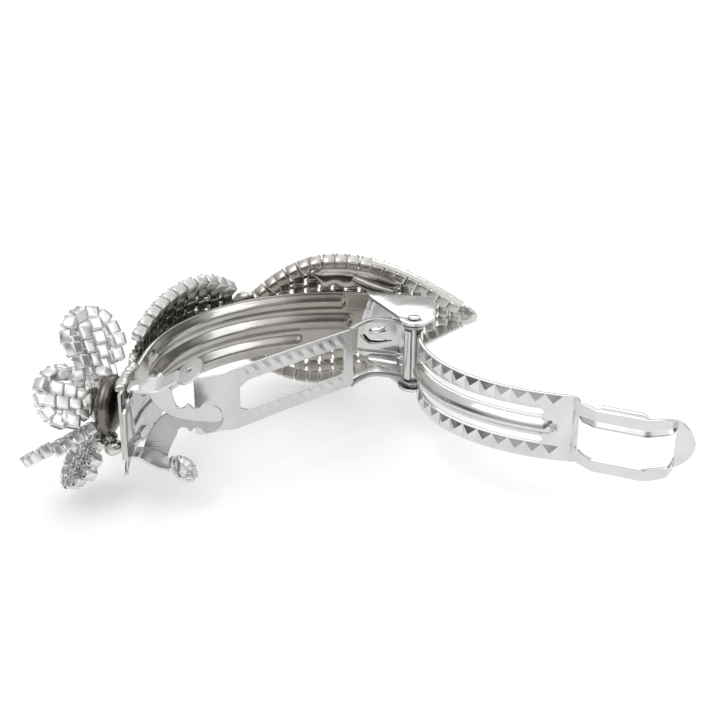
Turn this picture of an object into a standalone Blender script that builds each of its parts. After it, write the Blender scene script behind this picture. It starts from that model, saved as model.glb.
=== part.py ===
"""Rhinestone hair clip: an open French (automatic) barrette, standing on its long edge.

Frame: +Z is the clip's width direction (the clip stands on one long edge),
X and Y are the plan in which the base plate, tension bar and lever curve.
The hair side of the base plate faces -Y, the decorated side faces +Y.
Origin: centre of the footprint, on the standing plane. Units: metres.
"""
import bpy
import bmesh
import math
from mathutils import Vector

MM = 0.001

# ------------------------------------------------------------- driving dimensions (mm)
ORIGIN = (-7.57, -10.431, -12.872)       # design-plan point that becomes the part's origin
SHEET = 0.5                    # sheet steel thickness
WIDTH = 9.7                    # width of the base plate and lever
HINGE = (1.3, -5.0)            # hinge axis in plan
PIN_R = 0.75

# base plate: straight end, then an arch
BASE_START = (-37.9, -31.0)
BASE_HEADING = -84.0           # degrees, 0 = +X, positive turns towards -Y
BASE_RUNS = ((15.5, 0.0), (22.4, 53.4), (22.3, 43.6), (8.0, 10.0))
BASE_S0, BASE_S1 = 1.5, 60.6
RIB_Z = 3.4                    # side ribs' offset from the middle
RIB_HALF = 0.85
RIB_RISE = 0.75

# catch
CATCH_S0, CATCH_S1 = 0.0, 13.2
CATCH_LIFT = 0.85
ARM_ROOT = (-36.8, 4.98)      # X and |Z| of the squeeze arms' root
ARM_Y0, ARM_Y1 = -28.6, -25.9
ARM_STRAIGHT = 3.5             # length before the arm bends outwards
ARM_T = 0.45
DISC_R = 1.95
HOOK_Y_UPPER = -26.75          # mid plane of the hook plate on the upper arm
HOOK_Y_LOWER = -25.85
HOOK_T = 0.4
HOOK_TIP = 2.62
HOOK_NOTCH = 1.75

# tension bar
BAR_START = (-29.2, -23.6)
BAR_HEADING = -24.0
BAR_RUNS = ((4.6, 0.0), (1.8, -19.5), (21.2, 4.0))
BAR_HALF = 4.55
BAR_OPEN = 2.25
BAR_TAB_Z0, BAR_TAB_Z1 = 4.25, 4.7

# lever
LEVER_START = (2.1, -6.15)
LEVER_HEADING = 97.0
LEVER_RUNS = ((2.05, -4.0), (15.8, -52.0), (15.2, -33.0))
LOOP_STEPS = ((4.05, 54.5), (6.6, 22.3), (3.2, -11.0), (1.8, -52.0), (2.6, 14.0))
TOOTH_PITCH = 2.3
TOOTH_FIRST = 6.2
TEETH = 11
TOOTH_RISE = 0.65
LOOP_HALF = 4.4
LOOP_OPEN = 2.78

# hinge bracket
EAR_Z0, EAR_Z1 = 5.1, 5.6

# decoration
CUP = 2.1                      # square cup of a cup chain


# ------------------------------------------------------------- scene reset
for ob in list(bpy.data.objects):
    bpy.data.objects.remove(ob, do_unlink=True)
for blk in (bpy.data.meshes, bpy.data.materials, bpy.data.curves):
    for it in list(blk):
        blk.remove(it)
COL = bpy.context.scene.collection


def material(name, rgb, rough, metal):
    m = bpy.data.materials.new(name)
    m.use_nodes = True
    b = m.node_tree.nodes["Principled BSDF"]
    b.inputs["Base Color"].default_value = (*rgb, 1.0)
    b.inputs["Roughness"].default_value = rough
    b.inputs["Metallic"].default_value = metal
    return m


STEEL = material("plated_steel", (0.80, 0.80, 0.79), 0.14, 1.0)
STEEL_WARM = material("plated_steel_pressed", (0.74, 0.73, 0.70), 0.2, 1.0)
CUPS = material("cup_chain", (0.82, 0.82, 0.81), 0.2, 1.0)
STONE = material("crystal", (0.93, 0.95, 0.97), 0.03, 0.0)
SOLDER = material("solder", (0.66, 0.65, 0.62), 0.28, 1.0)


# ------------------------------------------------------------- geometry helpers
def rad(a):
    return math.radians(a)


def heading(th):
    return math.cos(rad(th)), -math.sin(rad(th))


class Path:
    """Plan curve made of runs of constant curvature: (length, turn in degrees)."""

    def __init__(self, start, th0, runs, step=0.25):
        self.s, self.x, self.y, self.th = [0.0], [start[0]], [start[1]], [th0]
        for length, turn in runs:
            n = max(1, int(math.ceil(length / step)))
            for _ in range(n):
                ds, dt = length / n, turn / n
                hx, hy = heading(self.th[-1] + dt / 2)
                self.x.append(self.x[-1] + hx * ds)
                self.y.append(self.y[-1] + hy * ds)
                self.th.append(self.th[-1] + dt)
                self.s.append(self.s[-1] + ds)
        self.length = self.s[-1]

    def at(self, s):
        """Plan point and heading; straight on past either end."""
        if s <= 0.0:
            hx, hy = heading(self.th[0])
            return self.x[0] + hx * s, self.y[0] + hy * s, self.th[0]
        if s >= self.length:
            hx, hy = heading(self.th[-1])
            d = s - self.length
            return self.x[-1] + hx * d, self.y[-1] + hy * d, self.th[-1]
        lo, hi = 0, len(self.s) - 1
        while hi - lo > 1:
            mid = (lo + hi) // 2
            if self.s[mid] <= s:
                lo = mid
            else:
                hi = mid
        f = (s - self.s[lo]) / (self.s[hi] - self.s[lo])
        return (self.x[lo] + f * (self.x[hi] - self.x[lo]),
                self.y[lo] + f * (self.y[hi] - self.y[lo]),
                self.th[lo] + f * (self.th[hi] - self.th[lo]))

    def point(self, s, z, h=0.0):
        """h is measured along the normal on the right of the heading."""
        x, y, th = self.at(s)
        tx, ty = heading(th)
        return Vector((x + ty * h, y - tx * h, z))


def new_object(name, bm, mat, smooth=True, angle=32.0):
    for v in bm.verts:
        v.co = (v.co - Vector(ORIGIN)) * MM
    bmesh.ops.recalc_face_normals(bm, faces=bm.faces)
    me = bpy.data.meshes.new(name)
    bm.to_mesh(me)
    bm.free()
    me.materials.append(mat)
    if smooth:
        me.shade_smooth()
        me.set_sharp_from_angle(angle=rad(angle))
    ob = bpy.data.objects.new(name, me)
    COL.objects.link(ob)
    return ob


def sheet_mesh(bm, rows, place, thick, mask=None):
    """Closed sheet from a grid. rows[i] = list of (s, z, h); place(s, z, h) gives the point.

    mask(i, j) is True where the cell between row i and i+1, column j and j+1, is metal.
    """
    n, m = len(rows), len(rows[0])
    up, dn = {}, {}

    def vert(store, i, j, side):
        if (i, j) not in store:
            s, z, h = rows[i][j]
            t = thick(i, j) if callable(thick) else thick
            store[(i, j)] = bm.verts.new(place(s, z, h + side * t / 2))
        return store[(i, j)]

    cells = {(i, j) for i in range(n - 1) for j in range(m - 1) if mask is None or mask(i, j)}
    for i, j in cells:
        q = ((i, j), (i + 1, j), (i + 1, j + 1), (i, j + 1))
        bm.faces.new([vert(up, *c, +1) for c in q])
        bm.faces.new([vert(dn, *c, -1) for c in reversed(q)])
        for (di, dj), (a, b) in (((0, -1), (q[1], q[0])), ((1, 0), (q[2], q[1])),
                                 ((0, 1), (q[3], q[2])), ((-1, 0), (q[0], q[3]))):
            if (i + di, j + dj) not in cells:
                bm.faces.new([vert(up, *a, +1), vert(up, *b, +1), vert(dn, *b, -1), vert(dn, *a, -1)])


def prism(bm, outline, lo, hi, axis="z"):
    """Extrude a closed plan outline between two levels along an axis."""
    def at(p, w):
        if axis == "z":
            return Vector((p[0], p[1], w))
        return Vector((p[0], w, p[1]))
    a = [bm.verts.new(at(p, lo)) for p in outline]
    b = [bm.verts.new(at(p, hi)) for p in outline]
    k = len(outline)
    bm.faces.new(a[::-1])
    bm.faces.new(b)
    for i in range(k):
        j = (i + 1) % k
        bm.faces.new((a[i], a[j], b[j], b[i]))


def arc(cx, cy, r, a0, a1, n):
    return [(cx + r * math.cos(rad(a0 + (a1 - a0) * i / n)),
             cy + r * math.sin(rad(a0 + (a1 - a0) * i / n))) for i in range(n + 1)]


def lathe(bm, centre, axis, profile, n=16, closed=False):
    """Turned body: profile = [(distance along axis, radius)], radius 0 ends are poles."""
    w = Vector(axis).normalized()
    u = w.orthogonal().normalized()
    v = w.cross(u)
    c = Vector(centre)
    rings = []
    for d, r in profile:
        if r <= 1e-6:
            rings.append([bm.verts.new(c + w * d)])
        else:
            rings.append([bm.verts.new(c + w * d + (u * math.cos(2 * math.pi * k / n)
                                                   + v * math.sin(2 * math.pi * k / n)) * r)
                          for k in range(n)])
    pairs = list(zip(rings, rings[1:]))
    if closed:
        pairs.append((rings[-1], rings[0]))
    for a, b in pairs:
        for k in range(n):
            q = []
            for ring, kk in ((a, k), (a, (k + 1) % n), (b, (k + 1) % n), (b, k)):
                vv = ring[0] if len(ring) == 1 else ring[kk]
                if vv not in q:
                    q.append(vv)
            if len(q) > 2:
                bm.faces.new(q)
    if not closed:
        for ring, flip in ((rings[0], True), (rings[-1], False)):
            if len(ring) > 1:
                bm.faces.new(ring[::-1] if flip else ring)


def sweep(bm, stations):
    """Closed bar through stations = [(centre, across, up, half width, half height)]."""
    rings = []
    for c, a, u, hw, hh in stations:
        rings.append([bm.verts.new(c + a * (sx * hw) + u * (sy * hh))
                      for sx, sy in ((-1, -1), (1, -1), (1, 1), (-1, 1))])
    for p, q in zip(rings, rings[1:]):
        for k in range(4):
            bm.faces.new((p[k], p[(k + 1) % 4], q[(k + 1) % 4], q[k]))
    bm.faces.new(rings[0][::-1])
    bm.faces.new(rings[-1])


def cup_strand(bm, point, frame, length, cup=CUP, height=1.9, pitch=None):
    """Cup chain: square cups joined by narrow links, along point(t) for t in mm."""
    pitch = pitch or cup * 1.12
    n = max(1, int(length / pitch))
    pitch = length / n
    st = []
    for i in range(n):
        for f, k in ((0.06, 0.55), (0.1, 1.0), (0.9, 1.0), (0.94, 0.55)):
            t = (i + f) * pitch
            a, u = frame(t)
            st.append((point(t), a, u, cup / 2 * k, height / 2 * k))
    sweep(bm, st)


def join_bool(ob, cutter, op):
    cutter.hide_render = True
    cutter.display_type = "WIRE"
    mod = ob.modifiers.new(op.lower() + "_" + cutter.name, "BOOLEAN")
    mod.object = cutter
    mod.operation = op
    mod.solver = "EXACT"


def helper_object(name, bm):
    ob = new_object(name, bm, STEEL, smooth=False)
    ob.hide_render = True
    ob.display_type = "WIRE"
    return ob


def frange(a, b, n):
    return [a + (b - a) * i / n for i in range(n + 1)]


# ------------------------------------------------------------- base plate
BASE = Path(BASE_START, BASE_HEADING, BASE_RUNS)


def rib_height(z, s):
    """Three pressed ribs that fade out towards the hinge; the lower one ends first."""
    h = 0.0
    for zc, end in ((RIB_Z, 54.8), (0.0, 55.6), (-RIB_Z, 48.0)):
        fade = min(1.0, max(0.0, (s - 15.8) / 2.0), max(0.0, (end - s) / 1.6))
        d = abs(z - zc) / RIB_HALF
        if d < 1.0:
            h = max(h, RIB_RISE * fade * (1.0 - d * d))
    return h


def build_base():
    bm = bmesh.new()
    half = WIDTH / 2
    cols = [-half]
    for zc in (-RIB_Z, 0.0, RIB_Z):
        cols += [zc - RIB_HALF, zc - RIB_HALF * 0.45, zc + RIB_HALF * 0.45, zc + RIB_HALF]
    cols.append(half)
    stations = [BASE_S0, 8.0, 15.8, 17.8] + frange(20.3, 47.9, 12) + [49.5, 52.5, 53.6, 54.8, 55.6, BASE_S1]
    rows = [[(s, z, rib_height(z, s)) for z in cols] for s in stations]
    sheet_mesh(bm, rows, BASE.point, SHEET)
    return new_object("base_plate", bm, STEEL_WARM)


def build_catch_plate():
    """Flat catch plate riveted over the base plate's straight end, with a raised tongue."""
    bm = bmesh.new()
    half = WIDTH / 2
    rows = []
    for s in (CATCH_S0, 0.8, 2.2, 4.2, 6.2, 8.2, 10.2, 12.0, CATCH_S1):
        w = half - (0.9 if s < 0.1 else (0.45 if 0.5 < s < 7.0 else 0.0))
        tongue = max(0.0, 1.0 - ((s - 5.6) / 4.4) ** 2)
        rows.append([(s, z * w, CATCH_LIFT + (0.45 * tongue if abs(z) < 0.5 else 0.0))
                     for z in (-1.0, -0.62, -0.3, 0.0, 0.3, 0.62, 1.0)])
    sheet_mesh(bm, rows, BASE.point, 0.45)
    return new_object("catch_plate", bm, STEEL)


def build_rivet():
    """Rivet head that clinches the catch plate, seen on the decorated side only."""
    bm = bmesh.new()
    p = BASE.point(11.6, 0.0, -SHEET / 2 - 0.3)
    q = BASE.point(11.6, 0.0, -SHEET / 2 - 1.3)
    lathe(bm, p, q - p, [(0.0, 1.2), (0.35, 1.2), (0.75, 0.8), (0.9, 0.0)], n=12)
    return new_object("catch_rivet", bm, STEEL)


# ------------------------------------------------------------- latch arms
def hook_outline():
    """Boot-shaped hook plate in X and |Z|: stem, two arched notches and a hook tip."""
    x0 = ARM_ROOT[0]
    pts = [(x0 + 2.75, 5.2), (x0 + 3.05, 3.5), (x0 + 3.7, 2.0), (x0 + 4.7, 0.9), (x0 + 6.2, 0.15),
           (x0 + 8.6, -0.25), (x0 + 11.2, -0.35), (x0 + 12.0, 0.2), (x0 + 11.9, 1.3), (x0 + 11.0, 2.1)]
    pts += [(x0 + 9.75, HOOK_TIP)]
    pts += arc(x0 + 8.55, HOOK_TIP - 0.15, 0.8, -15, -165, 4)
    pts += arc(x0 + 6.65, HOOK_TIP - 0.15, 0.8, -15, -165, 4)
    pts += [(x0 + 5.7, 3.1), (x0 + 5.3, 4.6), (x0 + 4.4, 5.3)]
    return pts


def build_arm(name, side, splay, reach):
    """Squeeze arm with its flared finger disc and inward hook plate; side is +1 up, -1 down."""
    arm_path = Path(ARM_ROOT, -3.0, ((ARM_STRAIGHT, 0.0), (1.2, -splay), (reach + 3.0, 0.0)), step=0.1)
    cy = (ARM_Y0 + ARM_Y1) / 2
    centre = ARM_STRAIGHT + 1.2 + reach
    bm = bmesh.new()
    us = [0.0, 1.6, ARM_STRAIGHT, ARM_STRAIGHT + 0.6, ARM_STRAIGHT + 1.2, centre - 1.75, centre - 1.3,
          centre - 0.45, centre + 0.45, centre + 1.3, centre + 1.75, centre + DISC_R]
    rows = []
    for u in us:
        d = abs(u - centre)
        if u < centre - 1.6:
            w = (ARM_Y1 - ARM_Y0) / 2 * (1.0 if u < ARM_STRAIGHT + 0.3 else 0.72)
        else:
            w = max(0.7, math.sqrt(max(0.0, DISC_R ** 2 - d * d)))
        rows.append([(u, q, 0.0) for q in (-w, -0.45, 0.45, w)])

    def place(u, q, h):
        x, z, th = arm_path.at(u)
        tx, tz = heading(th)
        return Vector((x + tz * h, cy + q, side * (z - tx * h)))
    sheet_mesh(bm, rows, place, ARM_T, mask=lambda i, j: not (us[i] == centre - 0.45 and j == 1))
    arm = new_object(name, bm, STEEL)
    y = HOOK_Y_UPPER if side > 0 else HOOK_Y_LOWER
    bm = bmesh.new()
    prism(bm, [(x, side * z) for x, z in hook_outline()], y - HOOK_T / 2, y + HOOK_T / 2, "y")
    join_bool(arm, helper_object(name + "_hook", bm), "UNION")
    return arm


# ------------------------------------------------------------- tension bar
BAR = Path(BAR_START, BAR_HEADING, BAR_RUNS)


def polar(r, th):
    hx, hy = heading(th)
    return HINGE[0] + r * hx, HINGE[1] + r * hy


def build_bar():
    bm = bmesh.new()
    s_end = BAR.length
    open0, open1 = 7.0, s_end - 1.6
    stations = [0.0, 1.4, 4.6, open0]
    n = 16
    stations += [open0 + (open1 - open0) * (i + 1) / n for i in range(n)]
    stations += [s_end]
    rows = []
    mid = (BAR_HALF + BAR_OPEN) / 2
    for i, s in enumerate(stations):
        w = 3.85 if s < 0.1 else (BAR_HALF - 0.35 if s < 5 else BAR_HALF)
        rise = 0.3 if (open0 < s < open1 - 0.1 and i % 2 == 0) else 0.0
        rows.append([(s, z, rise if abs(abs(z) - mid) < 0.01 else 0.0)
                     for z in (-w, -mid, -BAR_OPEN, 0.0, BAR_OPEN, mid, w)])
    sheet_mesh(bm, rows, lambda s, z, h: BAR.point(s, z, h), 0.45,
               mask=lambda i, j: not (open0 - 0.01 <= stations[i] < open1 - 0.01 and j in (2, 3)))
    bar = new_object("tension_bar", bm, STEEL)
    ex, ey, _ = BAR.at(s_end - 0.5)
    for side, tag in ((1, "upper"), (-1, "lower")):
        bm = bmesh.new()
        spine = [(ex, ey), polar(8.3, 178), polar(6.4, 196), polar(3.6, 205)]
        left, right = [], []
        for i, p in enumerate(spine):
            a = spine[max(0, i - 1)]
            b = spine[min(len(spine) - 1, i + 1)]
            d = Vector((b[0] - a[0], b[1] - a[1])).normalized()
            w = 0.8
            left.append((p[0] - d.y * w, p[1] + d.x * w))
            right.append((p[0] + d.y * w, p[1] - d.x * w))
        a0 = math.degrees(math.atan2(left[-1][1] - HINGE[1], left[-1][0] - HINGE[0]))
        a1 = math.degrees(math.atan2(right[-1][1] - HINGE[1], right[-1][0] - HINGE[0]))
        diff = (a1 - a0) % 360.0
        sense, turn = (-1.0, 360.0 - diff) if diff < 180.0 else (1.0, diff)
        ring = arc(HINGE[0], HINGE[1], 1.6, a0 + sense * 14, a0 + sense * (turn - 14), 12)
        prism(bm, left + ring + right[::-1], min(side * BAR_TAB_Z0, side * BAR_TAB_Z1),
              max(side * BAR_TAB_Z0, side * BAR_TAB_Z1))
        bmesh.ops.recalc_face_normals(bm, faces=bm.faces)
        join_bool(bar, helper_object("bar_tab_" + tag, bm), "UNION")
    bm = bmesh.new()
    lathe(bm, (HINGE[0], HINGE[1], -7.0), (0, 0, 1), [(0, PIN_R + 0.15), (14.0, PIN_R + 0.15)], n=16)
    join_bool(bar, helper_object("bar_pin_hole", bm), "DIFFERENCE")
    return bar


# ------------------------------------------------------------- lever
LEVER = Path(LEVER_START, LEVER_HEADING, LEVER_RUNS)
LOOP = None


def loop_path():
    """Stepped end loop: straight facets that start at the fold line."""
    x, y, _ = LEVER.at(LEVER.length)
    pts = [(x, y)]
    for length, th in LOOP_STEPS:
        hx, hy = heading(th)
        pts.append((pts[-1][0] + hx * length, pts[-1][1] + hy * length))
    return pts


def lever_rows():
    """Grid rows (plan x, plan y, normal x, normal y, z list, h list, slot flag, open flag)."""
    rows = []
    half = WIDTH / 2
    s_last = LEVER.length
    tooth0 = TOOTH_FIRST
    st = [(0.0, "root"), (2.0, "root"), (3.6, "arm"), (5.0, "arm")]
    for k in range(TEETH):
        st.append((tooth0 + k * TOOTH_PITCH, "valley"))
        st.append((tooth0 + (k + 0.5) * TOOTH_PITCH, "peak"))
    st.append((tooth0 + TEETH * TOOTH_PITCH, "valley"))
    st.append((s_last - 0.9, "plain"))
    for s, kind in st:
        x, y, th = LEVER.at(s)
        tx, ty = heading(th)
        w = 3.9 if kind == "root" else half
        zs = [w, (w + 2.55) / 2, 2.55, 1.45, 0.8, 0.0]
        rib = 0.0 if (s < 4.0 or s > 30.4) else 0.7
        hs = [0.0, TOOTH_RISE if kind == "peak" else 0.0, 0.0, 0.0, rib * 0.8, rib]
        rows.append((x, y, ty, -tx, zs, hs, 5.0 - 0.01 <= s < 29.2, False))
    pts = loop_path()
    widths = [half, LOOP_HALF, LOOP_HALF, LOOP_HALF - 0.35, LOOP_HALF - 1.1, 1.9]
    th_prev = LEVER.th[-1]
    for k, (p, w) in enumerate(zip(pts, widths)):
        th_next = LOOP_STEPS[k][1] if k < len(LOOP_STEPS) else LOOP_STEPS[-1][1]
        th = (th_prev + th_next) / 2
        tx, ty = heading(th)
        inner = min(LOOP_OPEN, w * 0.7)
        zs = [w, (w + inner) / 2, inner, inner * 0.55, inner * 0.3, 0.0]
        rows.append((p[0], p[1], ty, -tx, zs, [0.0] * 6, False, 0 < k < 4))
        if k == 0:
            hx, hy = heading(LOOP_STEPS[0][1])
            q = (p[0] + hx * 0.8, p[1] + hy * 0.8)
            tx, ty = heading(LOOP_STEPS[0][1])
            rows.append((q[0], q[1], ty, -tx, [half - 0.1, 3.8, LOOP_OPEN, 1.5, 0.8, 0.0], [0.0] * 6, False, True))
        th_prev = th_next
    return rows


def build_lever():
    bm = bmesh.new()
    src = lever_rows()
    rows = []
    for r, (x, y, nx, ny, zs, hs, slot, hole) in enumerate(src):
        full = [(-z, h) for z, h in zip(zs, hs)] + [(z, h) for z, h in zip(zs[:-1][::-1], hs[:-1][::-1])]
        rows.append([(r, z, h) for z, h in full])

    def place(r, z, h):
        x, y, nx, ny = src[int(r)][:4]
        return Vector((x + nx * h, y + ny * h, z))

    def metal(i, j):
        slot, hole = src[i][6], src[i][7]
        if slot and j in (2, 7):
            return False
        if hole and j in (2, 3, 4, 5, 6, 7):
            return False
        return True

    sheet_mesh(bm, rows, place, SHEET, metal)
    lever = new_object("lever", bm, STEEL)
    bm = bmesh.new()
    lathe(bm, (HINGE[0], HINGE[1], 0), (0, 0, 1),
          [(-3.9, PIN_R + 0.15), (-3.9, 1.5), (3.9, 1.5), (3.9, PIN_R + 0.15)], n=16, closed=True)
    join_bool(lever, helper_object("lever_barrel", bm), "UNION")
    return lever


# ------------------------------------------------------------- hinge bracket and pin
def build_bracket():
    """Wide bracket over the base plate's end, with two tall ears that carry the pin."""
    bm = bmesh.new()
    rows = []
    for s in (56.2, 56.8, 58.2, 60.0, 62.0, 64.0, 66.2):
        w = 4.2 if s < 56.5 else (5.3 if s > 58 else 5.0)
        crease = 0.35 if 57 < s < 63 else 0.0
        rows.append([(s, z, 1.1 + (crease if abs(abs(z) - 0.0) < 0.01 else 0.0))
                     for z in (-w, -w * 0.55, -0.9, 0.0, 0.9, w * 0.55, w)])
    sheet_mesh(bm, rows, BASE.point, SHEET)
    br = new_object("hinge_bracket", bm, STEEL)
    bx, by, _ = BASE.at(57.6)
    ex, ey, _ = BASE.at(66.0)
    for side, tag in ((1, "upper"), (-1, "lower")):
        bm = bmesh.new()
        outline = [(bx, by - 0.9), (bx + 1.0, by - 4.4), (HINGE[0] - 2.1, HINGE[1] + 0.8)]
        outline += arc(HINGE[0], HINGE[1], 2.15, 160, 380, 10)
        outline += [(ex + 0.2, ey - 2.0), (ex, ey - 0.9)]
        prism(bm, outline, min(side * EAR_Z0, side * EAR_Z1), max(side * EAR_Z0, side * EAR_Z1))
        join_bool(br, helper_object("ear_" + tag, bm), "UNION")
    bm = bmesh.new()
    lathe(bm, (HINGE[0], HINGE[1], -7.0), (0, 0, 1), [(0, PIN_R + 0.12), (14.0, PIN_R + 0.12)], n=16)
    join_bool(br, helper_object("ear_pin_hole", bm), "DIFFERENCE")
    return br


def build_pin():
    bm = bmesh.new()
    lathe(bm, (HINGE[0], HINGE[1], 0), (0, 0, 1),
          [(-6.4, 0.0), (-6.3, 0.55), (-6.1, PIN_R), (5.9, PIN_R), (5.9, 1.25), (6.35, 1.1), (6.45, 0.0)], n=16)
    return new_object("hinge_pin", bm, STEEL)


# ------------------------------------------------------------- decoration
def unit(*p):
    return Vector(p).normalized()


# root (mm), direction, face normal and length of each petal: they are bent by hand,
# so each stands at an angle of its own around the dome
PETALS = (
    ((-41.1, -23.3, 5.4), unit(-0.28, 0.42, 0.86), unit(-0.58, 0.57, -0.46), 9.0),
    ((-43.0, -25.8, 2.0), unit(-0.78, -0.45, 0.42), unit(-0.65, 0.55, -0.52), 7.4),
    ((-42.9, -26.6, -1.9), unit(-0.84, -0.43, -0.34), unit(-0.39, 0.36, 0.85), 9.8),
    ((-42.1, -25.4, -4.3), unit(-0.58, 0.05, -0.80), unit(-0.76, -0.25, 0.52), 8.2),
    ((-41.2, -20.6, 0.2), unit(-0.42, 0.88, -0.20), unit(-0.85, -0.25, 0.15), 9.0),
)


def petal_frame(k):
    root, along, nrm, length = PETALS[k]
    nrm = (nrm - along * nrm.dot(along)).normalized()
    return Vector(root), along, along.cross(nrm), nrm, length


def build_flower():
    """Dark dome behind the catch end, with five cup-chain petals and a set stone."""
    c = Vector(DOME_C)
    axis = unit(-0.97, 0.16, 0.05)
    made = []
    bm = bmesh.new()
    lathe(bm, c, axis, [(-1.5, 0.0), (-1.45, 1.6), (-1.0, 3.4), (0.0, 4.2), (0.9, 3.9), (1.3, 3.0), (1.3, 0.0)], n=16)
    made.append(new_object("flower_dome", bm, SOLDER))
    bm = bmesh.new()
    lathe(bm, (-39.6, -26.3, -4.7), (0.2, 0.0, 1.0),
          [(-1.2, 0.0), (-0.95, 0.65), (-0.3, 1.05), (0.3, 1.05), (0.8, 0.75), (1.0, 0.0)], n=10)
    made.append(new_object("solder_bead", bm, SOLDER))
    for k in range(5):
        root, along, across, nrm, length = petal_frame(k)
        bm = bmesh.new()
        rows = []
        inner = length - RIM_R - CUP / 2
        for t, w in ((-0.4, 1.1), (inner * 0.5, 1.6), (inner, 2.0), (inner + 1.2, 1.85), (inner + 1.95, 0.9)):
            rows.append([(t, q * w, 0.03 * t + 0.1 * q * q * w) for q in (-1.0, -0.5, 0.0, 0.5, 1.0)])
        sheet_mesh(bm, rows, lambda t, q, h: root + along * t + across * q + nrm * h, 1.5)
        made.append(new_object("petal_%d" % (k + 1), bm, CUPS, smooth=False))
        bm = bmesh.new()
        mid = root + along * inner
        ra = rc = RIM_R
        g1 = rad(98)
        n = 48
        probe = [Vector((ra * math.cos(g1 * (2 * i / n - 1)), rc * math.sin(g1 * (2 * i / n - 1)), 0)) for i in range(n + 1)]
        span = sum((q - p).length for p, q in zip(probe, probe[1:]))

        def pt(t):
            g = (t / span - 0.5) * 2 * g1
            return mid + along * (ra * math.cos(g)) + across * (rc * math.sin(g)) + nrm * 0.55

        def fr(t):
            g = (t / span - 0.5) * 2 * g1
            return (along * (rc * math.cos(g)) + across * (ra * math.sin(g))).normalized(), nrm
        cup_strand(bm, pt, fr, span, cup=1.9, height=2.1)
        made.append(new_object("petal_rim_%d" % (k + 1), bm, CUPS, smooth=False))
    c2 = c + unit(*CENTRE_AXIS) * 3.2 + Vector((-0.6, -1.0, 0.6))
    axis = unit(*CENTRE_AXIS)
    bm = bmesh.new()
    lathe(bm, c2, axis, [(-0.5, 0.0), (-0.5, 1.2), (0.9, 1.6), (1.7, 1.6), (1.7, 1.35), (0.6, 1.0), (0.6, 0.0)], n=12)
    made.append(new_object("centre_cup", bm, CUPS))
    bm = bmesh.new()
    lathe(bm, c2, axis, [(0.95, 0.0), (1.7, 1.0), (2.2, 0.7), (2.35, 0.0)], n=12)
    made.append(new_object("centre_stone", bm, STONE, smooth=False))
    return made


RIM_R = 3.4                    # radius of the row of cups round a petal's end
DOME_C = (-39.95, -24.6, 0.9)
CENTRE_AXIS = (-0.75, 0.62, -0.1)


def leaf_surface(path, length, z0, z1, width, offset, curl, peak=0.42):
    """Leaf over a plan path: returns f(t, v) for t in 0..1 and v in -1..1."""
    def half(t):
        t = min(max(t, 0.0), 1.0)
        a = (t / peak) if t < peak else (1.0 - t) / (1.0 - peak)
        return width / 2 * math.sin(math.pi / 2 * max(a, 0.0)) ** (0.85 if t < peak else 1.15)

    def f(t, v, h=0.0):
        w = max(half(t), 0.35)
        z = z0 + (z1 - z0) * t + v * w
        bow = -offset - curl * (1.0 - (v * w / (width / 2)) ** 2)
        return path.point(t * length, z, bow - h)
    return f, half


BIG = Path((-25.2, 3.6), -34.0, ((12.0, 26.0), (14.0, 20.0), (12.5, 16.0)))
SMALL = Path((-36.9, -13.0), -76.0, ((8.0, 22.0), (10.0, 30.0), (6.0, 14.0)))


def leaf_nodes(tag, path, length, z0, z1, width, offset, curl, peak, rows_n, strands):
    f, half = leaf_surface(path, length, z0, z1, width, offset, curl, peak)
    made = []
    bm = bmesh.new()
    rows = []
    for t in frange(0.12, 0.88, rows_n):
        edge = max(half(t) - 1.55, 0.25) / max(half(t), 0.35)
        rows.append([(t, v * edge, 0.0) for v in (-1.0, -0.6, -0.2, 0.2, 0.6, 1.0)])
    sheet_mesh(bm, rows, lambda t, v, h: f(t, v, h), 0.9)
    made.append(new_object("leaf_%s_mesh" % tag, bm, CUPS, smooth=False))
    for name, v, t0, t1 in strands:
        def pt(d, v=v, t0=t0, t1=t1):
            t = t0 + (t1 - t0) * d / span
            return f(t, v, 0.15)

        probe = [f(t0 + (t1 - t0) * i / 40, v, 0) for i in range(41)]
        span = sum((b - a).length for a, b in zip(probe, probe[1:]))

        def fr(d, pt=pt):
            a, b = pt(max(d - 0.2, 0.0)), pt(min(d + 0.2, span))
            tan = (b - a).normalized()
            x, y, th = path.at(0.0)
            n = Vector((-0.0, 1.0, 0.25)).normalized()
            acr = tan.cross(n).normalized()
            return acr, acr.cross(tan).normalized()
        bm = bmesh.new()
        cup_strand(bm, pt, fr, span, cup=1.9, height=1.9)
        made.append(new_object("leaf_%s_%s" % (tag, name), bm, CUPS, smooth=False))
    return made


def build_leaves():
    made = leaf_nodes("large", BIG, 38.0, -4.3, 1.2, 18.8, 3.4, 1.6, 0.38, 12,
                      (("rim_upper", 1.0, 0.06, 0.94), ("rim_lower", -1.0, 0.06, 0.94)))
    made += leaf_nodes("small", SMALL, 23.0, 0.9, 3.9, 8.8, 2.7, 1.0, 0.6, 8,
                       (("rim_upper", 1.0, 0.13, 0.87), ("rim_lower", -1.0, 0.13, 0.87)))
    return made


# ------------------------------------------------------------- assemble
clip = bpy.data.objects.new("hair_clip", None)
COL.objects.link(clip)
hinge = bpy.data.objects.new("hinge_axis", None)
hinge.location = (Vector((HINGE[0], HINGE[1], 0.0)) - Vector(ORIGIN)) * MM
COL.objects.link(hinge)

fixed = [build_base(), build_catch_plate(), build_rivet(), build_bracket(), build_pin()]
fixed += build_flower() + build_leaves()
arms = [build_arm("latch_arm_upper", 1, 26.0, 3.9), build_arm("latch_arm_lower", -1, 50.0, 2.9)]
turning = [build_bar(), build_lever()]
for ob in fixed + arms:
    ob.parent = clip
bpy.context.view_layer.update()
for ob in turning:
    ob.parent = hinge
    ob.matrix_parent_inverse = hinge.matrix_world.inverted()
hinge.parent = clip
bpy.context.view_layer.update()
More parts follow.
